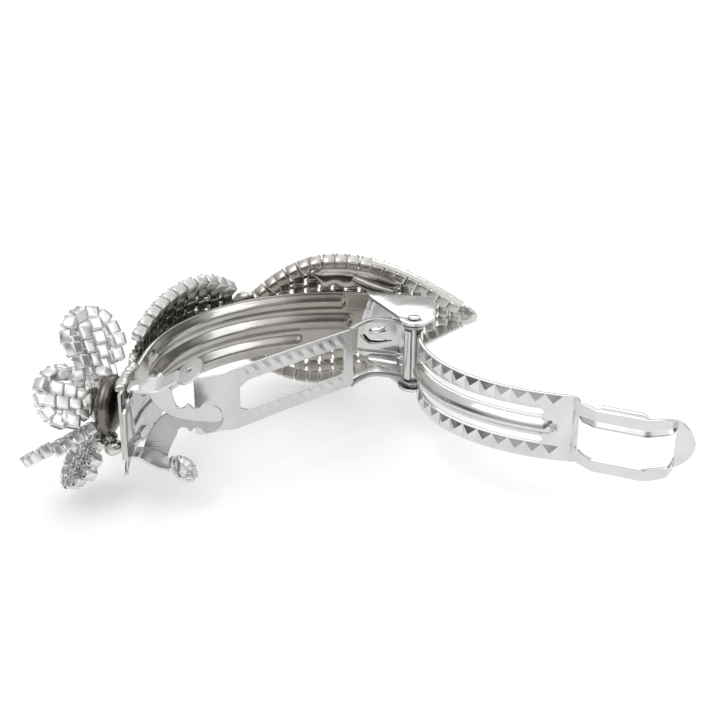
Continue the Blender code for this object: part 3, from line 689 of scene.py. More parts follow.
def plate_with_hole(bm, outline, hole, lo, hi):
    """Flat plate between two levels with one round hole, filled between its two contours."""
    def loop(pts, z):
        vs = [bm.verts.new((p[0], p[1], z)) for p in pts]
        es = [bm.edges.new((vs[i], vs[(i + 1) % len(vs)])) for i in range(len(vs))]
        return vs, es
    out0, e0 = loop(outline, lo)
    in0, f0 = loop(hole, lo)
    out1, e1 = loop(outline, hi)
    in1, f1 = loop(hole, hi)
    bmesh.ops.triangle_fill(bm, use_beauty=True, use_dissolve=False, edges=e0 + f0)
    bmesh.ops.triangle_fill(bm, use_beauty=True, use_dissolve=False, edges=e1 + f1)
    for a, b in ((out0, out1), (in0, in1)):
        for i in range(len(a)):
            j = (i + 1) % len(a)
            bm.faces.new((a[i], a[j], b[j], b[i]))


# ------------------------------------------------------------------ lever
TOOTH0, PITCH, TEETH, RISE = 6.2, 2.3, 11, 0.46


def lever_spine():
    """Rows of the lever: plan point, distance, kind."""
    rows = []
    cx, cy = HINGE
    r = 1.2
    for a in frange(250.0, 4.0, 26):
        rows.append((cx + r * math.cos(rad(a)), cy + r * math.sin(rad(a)), -9.0 + 6.0 * (250 - a) / 246, "curl"))
    rows.append((2.40, -5.55, -0.6, "root"))
    for s in frange(0.0, TOOTH0, 20):
        rows.append((*LEVER.at(s)[:2], s, "root" if s < 3.0 else "arm"))
    n = 8
    for k in range(TEETH * n):
        s = TOOTH0 + (k + 1) * PITCH / n
        rows.append((*LEVER.at(s)[:2], s, "arm"))
    for s in frange(TOOTH0 + TEETH * PITCH, LEVER.length, 6)[1:]:
        rows.append((*LEVER.at(s)[:2], s, "arm"))
    x, y = LEVER.at(LEVER.length)[:2]
    d = 0.0
    for k, (length, th) in enumerate(LOOP_STEPS):
        hx, hy = heading(th)
        m = max(2, int(length / 0.45))
        for i in range(1, m + 1):
            q = length * i / m
            rows.append((x + hx * q, y + hy * q, d + q, "loop"))
        x, y = x + hx * length, y + hy * length
        d += length
    return rows


def loop_half(d):
    if d < 1.2:
        return WIDTH / 2 - 0.45 * smooth(0.0, 1.2, d) - 0.0
    if d < 11.5:
        return 4.4
    return 4.4 * math.sqrt(max(0.006, 1 - ((d - 11.5) / 6.78) ** 2))


def loop_open(d):
    o = min(2.78, loop_half(d) * 0.7)
    return o * (0.86 + 0.14 * smooth(0.6, 3.6, d))


def build_lever():
    rows = lever_spine()
    half = WIDTH / 2
    P, info = [], []
    nr, ns, nc = 8, 4, 12
    for i, (x, y, s, kind) in enumerate(rows):
        a = rows[max(0, i - 1)]
        b = rows[min(len(rows) - 1, i + 1)]
        t = Vector((b[0] - a[0], b[1] - a[1], 0)).normalized()
        nx, ny = t.y, -t.x
        if kind == "loop":
            w, inner, slot = loop_half(s), loop_open(s), 0.5
            outer = [w - (w - inner) * q for q in [0.0, 0.05] + [0.05 + 0.9 * k / nr for k in range(1, nr + 1)] + [1.0]]
            mid = [inner * (1 - k / ns * 0.5) for k in range(1, ns + 1)]
            cen = [mid[-1] * (1 - k / (nc // 2)) for k in range(1, nc // 2 + 1)]
        else:
            w = half
            if kind in ("curl",):
                w = 3.9
            elif s < 4.6:
                w = 3.9 + (half - 3.9) * smooth(1.8, 4.4, s)
            k0 = 1.0
            for e, sg in ((5.0, 1), (29.2, -1)):
                d = (s - e) * sg
                if d < 0.6:
                    k0 = min(k0, math.sqrt(max(0.06, 1 - (1 - max(d, 0) / 0.6) ** 2)))
            zi, zo = 2.0 - 0.55 * k0, 2.0 + 0.55 * k0
            outer = [w, w - 0.1] + [w - 0.1 - (w - 0.1 - 2.65) * k / nr for k in range(1, nr + 1)]
            outer += [zo]
            mid = [zo + (zi - zo) * k / ns for k in range(1, ns + 1)]
            cen = [zi * (1 - k / (nc // 2)) for k in range(1, nc // 2 + 1)]
        zs = outer + mid + cen
        row = []
        for sgn, seq in ((1, zs), (-1, zs[:-1][::-1])):
            for z in seq:
                h = 0.0
                if kind == "arm" and s >= TOOTH0 - 0.01 and s <= TOOTH0 + TEETH * PITCH + 0.01 and 2.65 <= z <= w - 0.1:
                    u = ((s - TOOTH0) / PITCH) % 1.0
                    if abs(s - (TOOTH0 + TEETH * PITCH)) < 0.01:
                        u = 0.0
                    v = (z - 2.65) / (w - 0.1 - 2.65)
                    h = RISE * (1 - max(abs(2 * u - 1), abs(2 * v - 1)))
                elif kind in ("arm", "root") and z < 1.0 and s > 3.2:
                    end = smooth(3.2, 5.2, s) * smooth(30.9, 29.4, s)
                    h = 0.78 * end * math.cos(min(1.0, z / 1.0) * math.pi / 2) ** 1.1
                if kind in ("arm",) and s > 29.0 and z < 1.4:
                    # small punched dimple at the rib's end
                    h -= 0.42 * smooth(0.75, 0.15, math.hypot((s - 30.7), z))
                row.append(Vector((x + nx * h, y + ny * h, sgn * z)))
        P.append(row)
        info.append((s, kind))
    cols = len(P[0])
    o1 = nr + 2          # index of the slot's outer edge
    o2 = o1 + ns         # index of the slot's inner edge

    def keep(i, j):
        jj = j if j < cols // 2 else cols - 2 - j
        s, kind = info[i]
        s2, kind2 = info[i + 1]
        if kind == "arm" and kind2 == "arm" and 5.0 - 0.05 <= s and s2 <= 29.2 + 0.05 and o1 <= jj < o2:
            return False
        if kind == "loop" and kind2 == "loop" and s >= 0.75 and s2 <= 15.66 and jj >= o1:
            return False
        return True
    bm = bmesh.new()
    store = {}

    def v(i, j):
        if (i, j) not in store:
            store[(i, j)] = bm.verts.new(P[i][j])
        return store[(i, j)]
    for i in range(len(P) - 1):
        for j in range(cols - 1):
            if not keep(i, j):
                continue
            q = (v(i, j), v(i + 1, j), v(i + 1, j + 1), v(i, j + 1))
            s, kind = info[i]
            jj = j if j < cols // 2 else cols - 2 - j
            if kind == "arm" and TOOTH0 - 0.01 <= s < TOOTH0 + TEETH * PITCH - 0.01 and 1 <= jj <= nr:
                a = round((s - TOOTH0) / (PITCH / 8)) % 8
                b = (jj - 1)
                low = (a < 4) == (b < 4)
                if j >= cols // 2:
                    low = not low
                if low:
                    bm.faces.new((q[0], q[1], q[2]))
                    bm.faces.new((q[0], q[2], q[3]))
                else:
                    bm.faces.new((q[0], q[1], q[3]))
                    bm.faces.new((q[1], q[2], q[3]))
            else:
                bm.faces.new(q)
    ob = mesh_object("lever_strip", bm, NICKEL)
    thicken(ob, 0.46, 0.08, 2, 62)
    settle(ob)
    place(ob, "lever", ["lever"], 24)
    # folded flanges round the loop: inside the upper bar, and finger lips along both outer edges
    pts = [(x, y, s) for x, y, s, kind in rows if kind == "loop" and s > 0.5]
    bm = bmesh.new()
    for sgn in (1, -1):
        P = []
        for i, (x, y, s) in enumerate(pts):
            if not 3.4 <= s <= 11.2:
                continue
            a, b = pts[max(0, i - 1)], pts[min(len(pts) - 1, i + 1)]
            t = Vector((b[0] - a[0], b[1] - a[1], 0)).normalized()
            n = Vector((t.y, -t.x, 0))
            f = smooth(3.4, 4.6, s) * smooth(11.2, 9.8, s)
            P.append([Vector((x, y, sgn * 4.22)) + Vector((0, 0, sgn * 0.30 * f * math.sin(g * math.pi / 2))) * 1.0
                      - n * (0.1 + 1.15 * f * (1 - math.cos(g * math.pi / 2))) for g in frange(0.0, 1.0, 6)])
        grid(bm, P)
    ob = mesh_object("lever_finger_lips", bm, NICKEL)
    thicken(ob, 0.34, 0.06, 2, 60)
    settle(ob)
    place(ob, "lever", (), 40)
    bm = bmesh.new()
    for sgn in (1, -1):
        P = []
        for i, (x, y, s) in enumerate(pts):
            if not 0.9 <= s <= 15.4:
                continue
            a, b = pts[max(0, i - 1)], pts[min(len(pts) - 1, i + 1)]
            t = Vector((b[0] - a[0], b[1] - a[1], 0)).normalized()
            n = Vector((t.y, -t.x, 0))
            o = loop_open(s)
            f = smooth(0.6, 2.5, s) * (0.45 + 0.55 * smooth(15.4, 13.0, s))
            deep, out = (0.72, 0.55) if sgn > 0 else (0.22, 0.2)
            P.append([Vector((x, y, sgn * (o + 0.12 - deep * f * g))) + n * (0.02 + out * f * g) for g in frange(0.0, 1.0, 4)])
        grid(bm, P)
    ob = mesh_object("lever_window_flanges", bm, NICKEL)
    thicken(ob, 0.3, 0.05, 2, 60)
    settle(ob)
    place(ob, "lever", (), 40)


# ------------------------------------------------------------------ hinge bracket and pin
def bracket_left(z):
    key = [(-5.3, 57.1), (-4.7, 56.3), (-0.9, 56.5), (2.1, 57.4), (3.95, 58.0), (5.3, 59.2)]
    for (a, sa), (b, sb) in zip(key, key[1:]):
        if z <= b:
            return sa + (sb - sa) * smooth(a, b, z) if a < -4.75 else sa + (sb - sa) * (z - a) / (b - a)
    return key[-1][1]


def bracket_height(s, z):
    """Two stiffening ridges, a deep tapering crease under them and a rolled band before the hinge."""
    h = 0.0
    for (sa, za), (sb, zb), wid, amp in (((59.2, 0.95), (61.9, 1.35), 0.32, 0.42), ((58.4, -1.05), (61.0, -0.45), 0.36, 0.46),
                                         ((57.7, 2.7), (58.5, 2.35), 0.25, 0.16)):
        t = (s - sa) / (sb - sa)
        zc = za + (zb - za) * t
        f = smooth(-0.1, 0.2, t) * smooth(1.15, 0.55, t)
        h += amp * f * max(0.0, 1 - ((z - zc) / wid) ** 2)
    t = (s - 56.7) / (62.3 - 56.7)
    zc = -1.75 - 1.0 * smooth(0.0, 0.3, t) + 0.5 * smooth(0.4, 1.0, t)
    wid = 0.50 * smooth(1.05, 0.35, t) * smooth(-0.05, 0.1, t) + 0.02
    h -= 0.12 * smooth(1.05, 0.45, t) * smooth(wid, wid * 0.35, abs(z - zc)) * smooth(-0.05, 0.1, t)
    h += 0.42 * smooth(62.9, 63.7, s) * smooth(64.9, 64.2, s) - 0.20 * smooth(64.5, 64.9, s) * smooth(65.8, 65.2, s)
    h += 0.14 * smooth(-4.0, -4.7, z)
    return h


def bracket_slit(s, z):
    """Open tapering crease where the plate's lower half is folded forwards."""
    t = (s - 57.1) / (62.2 - 57.1)
    if not 0.0 < t < 1.0:
        return False
    zc = -1.75 - 1.0 * smooth(0.0, 0.3, t) + 0.5 * smooth(0.4, 1.0, t)
    return abs(z - zc) < 0.40 * smooth(0.0, 0.12, t) * (1.0 - t) ** 0.7 + 0.02


def build_bracket():
    bm = bmesh.new()
    zs = frange(-5.3, 5.3, 104)
    P = []
    for k in range(91):
        row = []
        for z in zs:
            s0 = bracket_left(z)
            s = s0 + (66.2 - s0) * k / 90
            dish = 0.3 * smooth(1.4, 0.0, s - s0)
            bend = 0.45 * smooth(4.1, 5.3, abs(z))
            row.append(BASE.point(s, z, 1.05 + bracket_height(s, z) * smooth(5.2, 4.2, abs(z)) - dish + bend * 0.5))
        P.append(row)

    def solid(i, j):
        z = (zs[j] + zs[j + 1]) / 2
        s0 = bracket_left(z)
        return not bracket_slit(s0 + (66.2 - s0) * (i + 0.5) / 90, z)
    grid(bm, P, solid)
    ob = mesh_object("hinge_bracket_plate", bm, NICKEL)
    thicken(ob, 0.42, 0.08, 2, 60)
    settle(ob)
    place(ob, "base", ["hinge_bracket"], 45)
    # near-black sheet just behind the slit: painted shade that darkens the crease
    bm = bmesh.new()
    P = []
    for s in frange(57.0, 62.4, 30):
        t = (s - 57.0) / 5.4
        zc = -1.75 - 1.0 * smooth(0.0, 0.3, t) + 0.5 * smooth(0.4, 1.0, t)
        P.append([BASE.point(s, zc + (k / 6 - 1.0) * (0.62 - 0.35 * t), 0.50 + 0.03 * math.sin(math.pi * k / 12)) for k in range(13)])
    grid(bm, P)
    ob = mesh_object("hinge_bracket_slit_painted_shade", bm, SLIT_SHADE)
    thicken(ob, 0.14, 0.03, 2, 60)
    settle(ob)
    place(ob, "base", (), 45)
    bx, by, _ = BASE.at(57.6)
    ex, ey, _ = BASE.at(66.0)
    for side, tag in ((1, "upper"), (-1, "lower")):
        outline = catmull([(bx, by - 0.9), (bx + 0.35, by - 2.6), (bx + 1.0, by - 4.0), (HINGE[0] - 2.1, HINGE[1] + 0.5)], 5)
        outline += arc(HINGE[0], HINGE[1], 2.15, 165, 380, 30)
        outline += [(ex + 0.2, ey - 2.0), (ex, ey - 0.7)]
        if side > 0:
            # the far ear runs on past the pin as a broad wing
            outline = catmull([(bx, by - 0.9), (bx + 0.35, by - 2.6), (bx + 1.0, by - 4.0), (HINGE[0] - 2.1, HINGE[1] + 0.5)], 5)
            outline += arc(HINGE[0], HINGE[1], 2.15, 165, 285, 20)
            outline += catmull([(HINGE[0] + 1.5, HINGE[1] - 1.7), (3.6, -5.6), (4.4, -4.2), (4.6, -1.0), (4.6, 2.2), (4.2, 2.9), (2.6, 3.4), (0.6, 3.9)], 4)
            outline += [(ex - 0.6, ey + 0.1)] if ey < 3.0 else []
        hole = arc(HINGE[0], HINGE[1], PIN_R + 0.03, 0, 360, 28)[:-1]
        z0, z1 = sorted((side * 5.1, side * 5.55))
        bm = bmesh.new()
        plate_with_hole(bm, outline, hole, z0, z1)
        ob = mesh_object("hinge_ear_" + tag, bm, NICKEL)
        round_edges(ob, 0.12, 3, 50)
        settle(ob)
        place(ob, "base", (), 40)
    bm = bmesh.new()
    lathe(bm, (HINGE[0], HINGE[1], 0), (0, 0, 1),
          [(-6.5, 0.0), (-6.5, 0.35), (-6.38, 0.62), (-6.2, 0.73), (-5.9, PIN_R), (5.56, PIN_R), (5.57, 0.84), (5.62, 0.92),
           (5.70, 0.92), (5.78, 0.82), (5.84, 0.6), (5.87, 0.35), (5.88, 0.0)], 36)
    ob = mesh_object("hinge_pin_headed", bm, NICKEL)
    return place(ob, "base", ["hinge_pin"], 50)


# ------------------------------------------------------------------ cup chain
def add_cup(bc, bs, M, cup=1.95, height=1.5, prongs=True, stone=True, squash=1.0):
    """One square cup with its stone.  M takes (across, along, front) in mm to the plan."""
    h = cup / 2

    def ring(bm, half, r, z):
        out = []
        for cx, cy, a0 in ((1, 1, 0), (-1, 1, 90), (-1, -1, 180), (1, -1, 270)):
            for a in (a0 + 10, a0 + 45, a0 + 80):
                x = cx * (half - r) + r * math.cos(rad(a))
                y = cy * (half - r) + r * math.sin(rad(a))
                out.append(bm.verts.new(M @ Vector((x, y * squash, z))))
        return out

    lo, hi = -height / 2, height / 2
    prof = [(h * 0.55, 0.16, lo), (h * 0.84, 0.24, lo + 0.03), (h * 0.95, 0.26, lo + 0.09), (h, 0.24, lo + 0.22),
            (h, 0.2, hi - 0.3), (h * 0.97, 0.2, hi - 0.1), (h * 0.86, 0.18, hi - 0.08), (h * 0.80, 0.16, 0.0)]
    rings = [ring(bc, *p) for p in prof]
    n = len(rings[0])
    bc.faces.new(rings[0][::-1])
    bc.faces.new(rings[-1])
    for a, b in zip(rings, rings[1:]):
        for k in range(n):
            bc.faces.new((a[k], a[(k + 1) % n], b[(k + 1) % n], b[k]))
    if prongs:
        for k in range(4):
            a = rad(45 + 90 * k)
            d = Vector((math.cos(a), math.sin(a), 0))
            t = Vector((-d.y, d.x, 0))
            base = [d * (h * 1.26) + t * 0.24, d * (h * 1.26) - t * 0.24, d * (h * 1.10) - t * 0.24, d * (h * 1.10) + t * 0.24]
            tip = [d * (h * 1.02) + t * 0.15, d * (h * 1.02) - t * 0.15, d * (h * 0.84) - t * 0.11, d * (h * 0.84) + t * 0.11]
            vb = [bc.verts.new(M @ Vector((p.x, p.y * squash, hi - 0.42))) for p in base]
            vm = [bc.verts.new(M @ Vector((p.x, p.y * squash, hi + 0.02))) for p in base]
            vt = [bc.verts.new(M @ Vector((p.x, p.y * squash, hi + 0.2))) for p in tip]
            bc.faces.new(vb[::-1])
            bc.faces.new(vt)
            for p, q in ((vb, vm), (vm, vt)):
                for e in range(4):
                    bc.faces.new((p[e], p[(e + 1) % 4], q[(e + 1) % 4], q[e]))
    if stone:
        prof = [(0.42, hi + 0.20, 22.5), (0.68, hi + 0.10, 0.0), (0.80, hi - 0.12, 22.5), (0.78, hi - 0.2, 22.5)]
        rr = []
        for f, z, a0 in prof:
            rr.append([bs.verts.new(M @ Vector((h * f * 1.06 * math.cos(rad(a0 + 45 * k)), h * f * 1.06 * squash * math.sin(rad(a0 + 45 * k)), z)))
                       for k in range(8)])
        bs.faces.new(rr[0])
        for a, b, odd in ((rr[0], rr[1], True), (rr[1], rr[2], False)):
            for k in range(8):
                j = (k + 1) % 8
                if odd:
                    bs.faces.new((a[k], b[k], b[j]))
                    bs.faces.new((a[k], b[j], a[j]))
                else:
                    bs.faces.new((a[k], b[k], a[j]))
                    bs.faces.new((b[k], b[j], a[j]))
        for k in range(8):
            bs.faces.new((rr[2][k], rr[3][k], rr[3][(k + 1) % 8], rr[2][(k + 1) % 8]))
        apex = bs.verts.new(M @ Vector((0, 0, 0.03)))
        for k in range(8):
            bs.faces.new((rr[3][k], apex, rr[3][(k + 1) % 8]))


def frame_at(p, across, along, front):
    return Matrix(((across.x, along.x, front.x, p.x), (across.y, along.y, front.y, p.y),
                   (across.z, along.z, front.z, p.z), (0, 0, 0, 1)))


def link_bar(bm, a, b, n, w=0.42, t=0.16):
    """Narrow joining strap of the chain between two cups."""
    d = (b - a)
    if d.length < 1e-4:
        return
    along = d.normalized()
    across = along.cross(n).normalized()
    up = across.cross(along)
    ra = [bm.verts.new(a + across * (sx * w / 2) + up * (sy * t / 2)) for sx, sy in ((-1, -1), (1, -1), (1, 1), (-1, 1))]
    rb = [bm.verts.new(b + across * (sx * w / 2) + up * (sy * t / 2)) for sx, sy in ((-1, -1), (1, -1), (1, 1), (-1, 1))]
    for k in range(4):
        bm.faces.new((ra[k], ra[(k + 1) % 4], rb[(k + 1) % 4], rb[k]))
    bm.faces.new(ra[::-1])
    bm.faces.new(rb)


def chain_pieces(name, bc, bs, metal, slot_nodes):
    cups = mesh_object(name + "_cups", bc, metal)
    round_edges(cups, 0.0, 1)
    cups.modifiers.clear()
    place(cups, "base", slot_nodes, 38)
    if len(bs.verts):
        stones = mesh_object(name + "_stones", bs, STONE)
        place(stones, "base", (), flat=True)
    else:
        bs.free()


PETALS = (
    ((-41.1, -23.3, 5.4), unit(-0.28, 0.42, 0.86), unit(-0.58, 0.57, -0.46), 9.0),
    ((-43.0, -25.8, 2.0), unit(-0.78, -0.45, 0.42), unit(-0.65, 0.55, -0.52), 7.4),
    ((-42.9, -26.6, -1.9), unit(-0.84, -0.43, -0.34), unit(-0.39, 0.36, 0.85), 9.8),
    ((-42.1, -25.4, -4.3), unit(-0.58, 0.05, -0.80), unit(-0.76, -0.25, 0.52), 8.2),
    ((-41.2, -20.6, 0.2), unit(-0.42, 0.88, -0.20), unit(-0.85, -0.25, 0.15), 9.0),
)
RIM_R = 3.4
RIM_PLAIN = (-1, 1, 0, 0, 0)
PETAL_PITCH = (1.9, 1.9, 1.46, 1.7, 1.9)
RIM_TILT = (1.0, 1.0, 0.1, 0.6, 1.0)
DOME_C = Vector((-39.95, -24.6, 0.9))
CENTRE_AXIS = unit(-0.75, 0.62, -0.1)


def build_petal(k):
    root, along, nrm, length = PETALS[k]
    root = Vector(root)
    nrm = (nrm - along * nrm.dot(along)).normalized()
    across = along.cross(nrm)
    inner = length - RIM_R - 1.05
    rng = random.Random(40 + k)
    bc, bs = bmesh.new(), bmesh.new()
    pitch = PETAL_PITCH[k]
    cup = pitch - 0.03
    n_col = int(round(7.6 / pitch))

    def width(t):
        """How far the outer strand's middle is from the petal's own middle line."""
        if t < inner:
            return RIM_R * (0.50 + 0.50 * smooth(-1.2, inner, t))
        return math.sqrt(max(0.0, RIM_R ** 2 - (t - inner) ** 2))

    def surf(t, q):
        return root + along * t + across * q + nrm * (0.02 * t - 0.05 * q * q)

    def basis(t, q):
        n = (nrm + across * (0.10 * q) - along * 0.02).normalized()
        al = (along - n * along.dot(n)).normalized()
        return al.cross(n).normalized(), al, n
    # the strands that run from the root to the rim, side by side
    for c in range(n_col):
        prev = None
        t = -0.4 + (0.5 * pitch if c % 2 else 0.0)
        while t < inner + RIM_R:
            wd = width(t)
            sq = (RIM_R * (0.50 + 0.50 * smooth(-1.2, inner, min(t, inner)))) / RIM_R
            q = (c - (n_col - 1) / 2) * pitch * sq
            if t > inner and math.hypot(t - inner, q) > RIM_R - 0.75:
                break
            ac, al, n = basis(t, q)
            turn = rng.uniform(-0.03, 0.03)
            ac2 = (ac * math.cos(turn) + al * math.sin(turn)).normalized()
            al2 = (al * math.cos(turn) - ac * math.sin(turn)).normalized()
            p = surf(t, q) + n * rng.uniform(-0.05, 0.05)
            M = frame_at(p, ac2 * sq, al2, n)
            add_cup(bc, bs, M, cup=cup, height=1.25)
            if prev is not None:
                link_bar(bc, prev, p, n, 1.0 * sq, 0.5)
            link_bar(bc, p - across * 0.97 * sq, p + across * 0.97 * sq, n, 1.0, 0.5)
            prev = p
            t += pitch
    # the rim: up one side, round the end, down the other
    side = []
    t = inner - 0.55 * pitch
    while t > 0.2:
        side.append(t)
        t -= pitch
    side = side[::-1]
    g1 = rad(94)
    n_arc = int(round(2 * g1 * RIM_R / (pitch + 0.04)))
    rim = [("s", t, -1) for t in side] + [("a", -g1 + 2 * g1 * (i + 0.5) / n_arc, 0) for i in range(n_arc)] \
        + [("s", t, 1) for t in side[::-1]]
    prev = None
    for kind, w, sg in rim:
        if kind == "s":
            out, tan = across * sg, along
            p = surf(w, sg * (width(w) + 0.12))
            tilt = rad(rng.uniform(10, 20)) * RIM_TILT[k]
        else:
            out = (along * math.cos(w) + across * math.sin(w)).normalized()
            tan = (across * math.cos(w) - along * math.sin(w)).normalized()
            p = root + along * (inner + RIM_R * math.cos(w)) + across * (RIM_R * math.sin(w)) + nrm * 0.2
            tilt = rad(rng.uniform(20, 42)) * RIM_TILT[k]
        n2 = (nrm * math.cos(tilt) + out * math.sin(tilt)).normalized()
        out2 = (out * math.cos(tilt) - nrm * math.sin(tilt)).normalized()
        tan2 = n2.cross(out2).normalized()
        plain = (kind == "s" and RIM_PLAIN[k] == sg) or (kind == "a" and RIM_PLAIN[k] * w > 0.15)
        if plain:
            # on this side the strand lies flat, level with the rest of the petal
            add_cup(bc, bs, frame_at(p - nrm * 0.1, out, nrm.cross(out).normalized(), nrm), cup=cup, height=1.25)
        else:
            add_cup(bc, bs, frame_at(p, out2, tan2, n2), cup=cup - 0.04, height=1.65 if pitch > 1.6 else 1.45)
        if prev is not None and (p - prev).length < 3.2:
            link_bar(bc, prev, p, nrm, 0.9, 0.6)
        prev = p
    # the root where the strands are soldered together
    blob(bc, root - along * 0.35, (across, nrm, along), (1.75, 0.85, 1.15), 0.25, 2.0 + k)
    chain_pieces("petal_%d" % (k + 1), bc, bs, CHAIN, ["petal_%d" % (k + 1), "petal_rim_%d" % (k + 1)])


def build_flower():
    axis = unit(-0.97, 0.16, 0.05)
    bm = bmesh.new()
    prof = [(-1.5, 0.0), (-1.49, 0.8), (-1.42, 1.6), (-1.28, 2.4), (-1.05, 3.2), (-0.72, 3.8), (-0.3, 4.12), (0.1, 4.2), (0.5, 4.1),
            (0.85, 3.85), (1.1, 3.45), (1.24, 3.0), (1.0, 2.4), (0.9, 1.2), (0.88, 0.0)]
    lathe(bm, DOME_C, axis, prof, 56, wobble=lambda p: 0.10 * noise.noise(p * 0.7))
    ob = mesh_object("flower_dome_backing", bm, SMOKE)
    place(ob, "base", ["flower_dome"], 60)
    bm = bmesh.new()
    blob(bm, (-39.6, -26.3, -4.7), ((1, 0, 0), (0, 1, 0), (0.2, 0, 1)), (1.3, 1.2, 1.15), 0.10, 4.0, 32, 20)
    blob(bm, (-40.2, -25.0, -3.9), ((1, 0, 0), (0, 1, 0), (0, 0, 1)), (1.0, 1.2, 0.9), 0.12, 8.0, 28, 16)
    ob = mesh_object("solder_bead_lump", bm, SOLDER)
    place(ob, "base", ["solder_bead"], 60)
    for k in range(5):
        build_petal(k)
    c2 = DOME_C + CENTRE_AXIS * 3.2 + Vector((-0.6, -1.0, 0.6))
    bm = bmesh.new()
    lathe(bm, c2, CENTRE_AXIS, [(-0.5, 0.0), (-0.5, 0.9), (-0.42, 1.1), (-0.2, 1.26), (0.9, 1.55), (1.55, 1.6), (1.7, 1.56), (1.72, 1.42),
                                (1.6, 1.32), (0.7, 1.0), (0.55, 0.0)], 40)
    w = CENTRE_AXIS
    u = w.orthogonal().normalized()
    v = w.cross(u)
    for q in range(8):
        a = 2 * math.pi * q / 8
        d = u * math.cos(a) + v * math.sin(a)
        link_bar(bm, c2 + w * 0.9 + d * 1.62, c2 + w * 1.92 + d * 1.44, d, 0.34, 0.2)
    ob = mesh_object("centre_cup_set", bm, CHAIN)
    place(ob, "base", ["centre_cup"], 45)
    bm = bmesh.new()
    rr = []
    for f, z, a0 in ((0.55, 2.32, 0.0), (0.98, 2.16, 11.25), (1.28, 1.85, 0.0), (1.3, 1.74, 0.0)):
        rr.append([bm.verts.new(c2 + w * z + (u * math.cos(rad(a0 + 22.5 * q)) + v * math.sin(rad(a0 + 22.5 * q))) * f) for q in range(16)])
    bm.faces.new(rr[0])
    for a, b in zip(rr, rr[1:]):
        for q in range(16):
            j = (q + 1) % 16
            bm.faces.new((a[q], b[q], b[j]))
            bm.faces.new((a[q], b[j], a[j]))
    apex = bm.verts.new(c2 + w * 0.75)
    for q in range(16):
        bm.faces.new((rr[-1][q], apex, rr[-1][(q + 1) % 16]))
    ob = mesh_object("centre_stone_cut", bm, STONE)
    place(ob, "base", ["centre_stone"], flat=True)


# ------------------------------------------------------------------ leaves
def leaf_surface(path, length, z0, z1, width, offset, curl, peak):
    def half(t):
        t = min(max(t, 0.0), 1.0)
        a = (t / peak) if t < peak else (1.0 - t) / (1.0 - peak)
        return width / 2 * math.sin(math.pi / 2 * max(a, 0.0)) ** (0.85 if t < peak else 1.15)

    def f(t, y, h=0.0):
        """y is the distance from the leaf's middle line in mm."""
        z = z0 + (z1 - z0) * t + y
        bow = -offset - curl * (1.0 - (y / (width / 2)) ** 2)
        return path.point(t * length, z, bow - h)
    return f, half


def leaf_frame(f, t, y, length):
    e = 0.4
    a = f(t + e / length, y) - f(t - e / length, y)
    b = f(t, y + e) - f(t, y - e)
    al = a.normalized()
    n = al.cross(b).normalized()
    if n.y < 0 or (abs(n.y) < 0.3 and n.x > 0):
        n = -n
    ac = al.cross(n).normalized()
    return ac, al, n


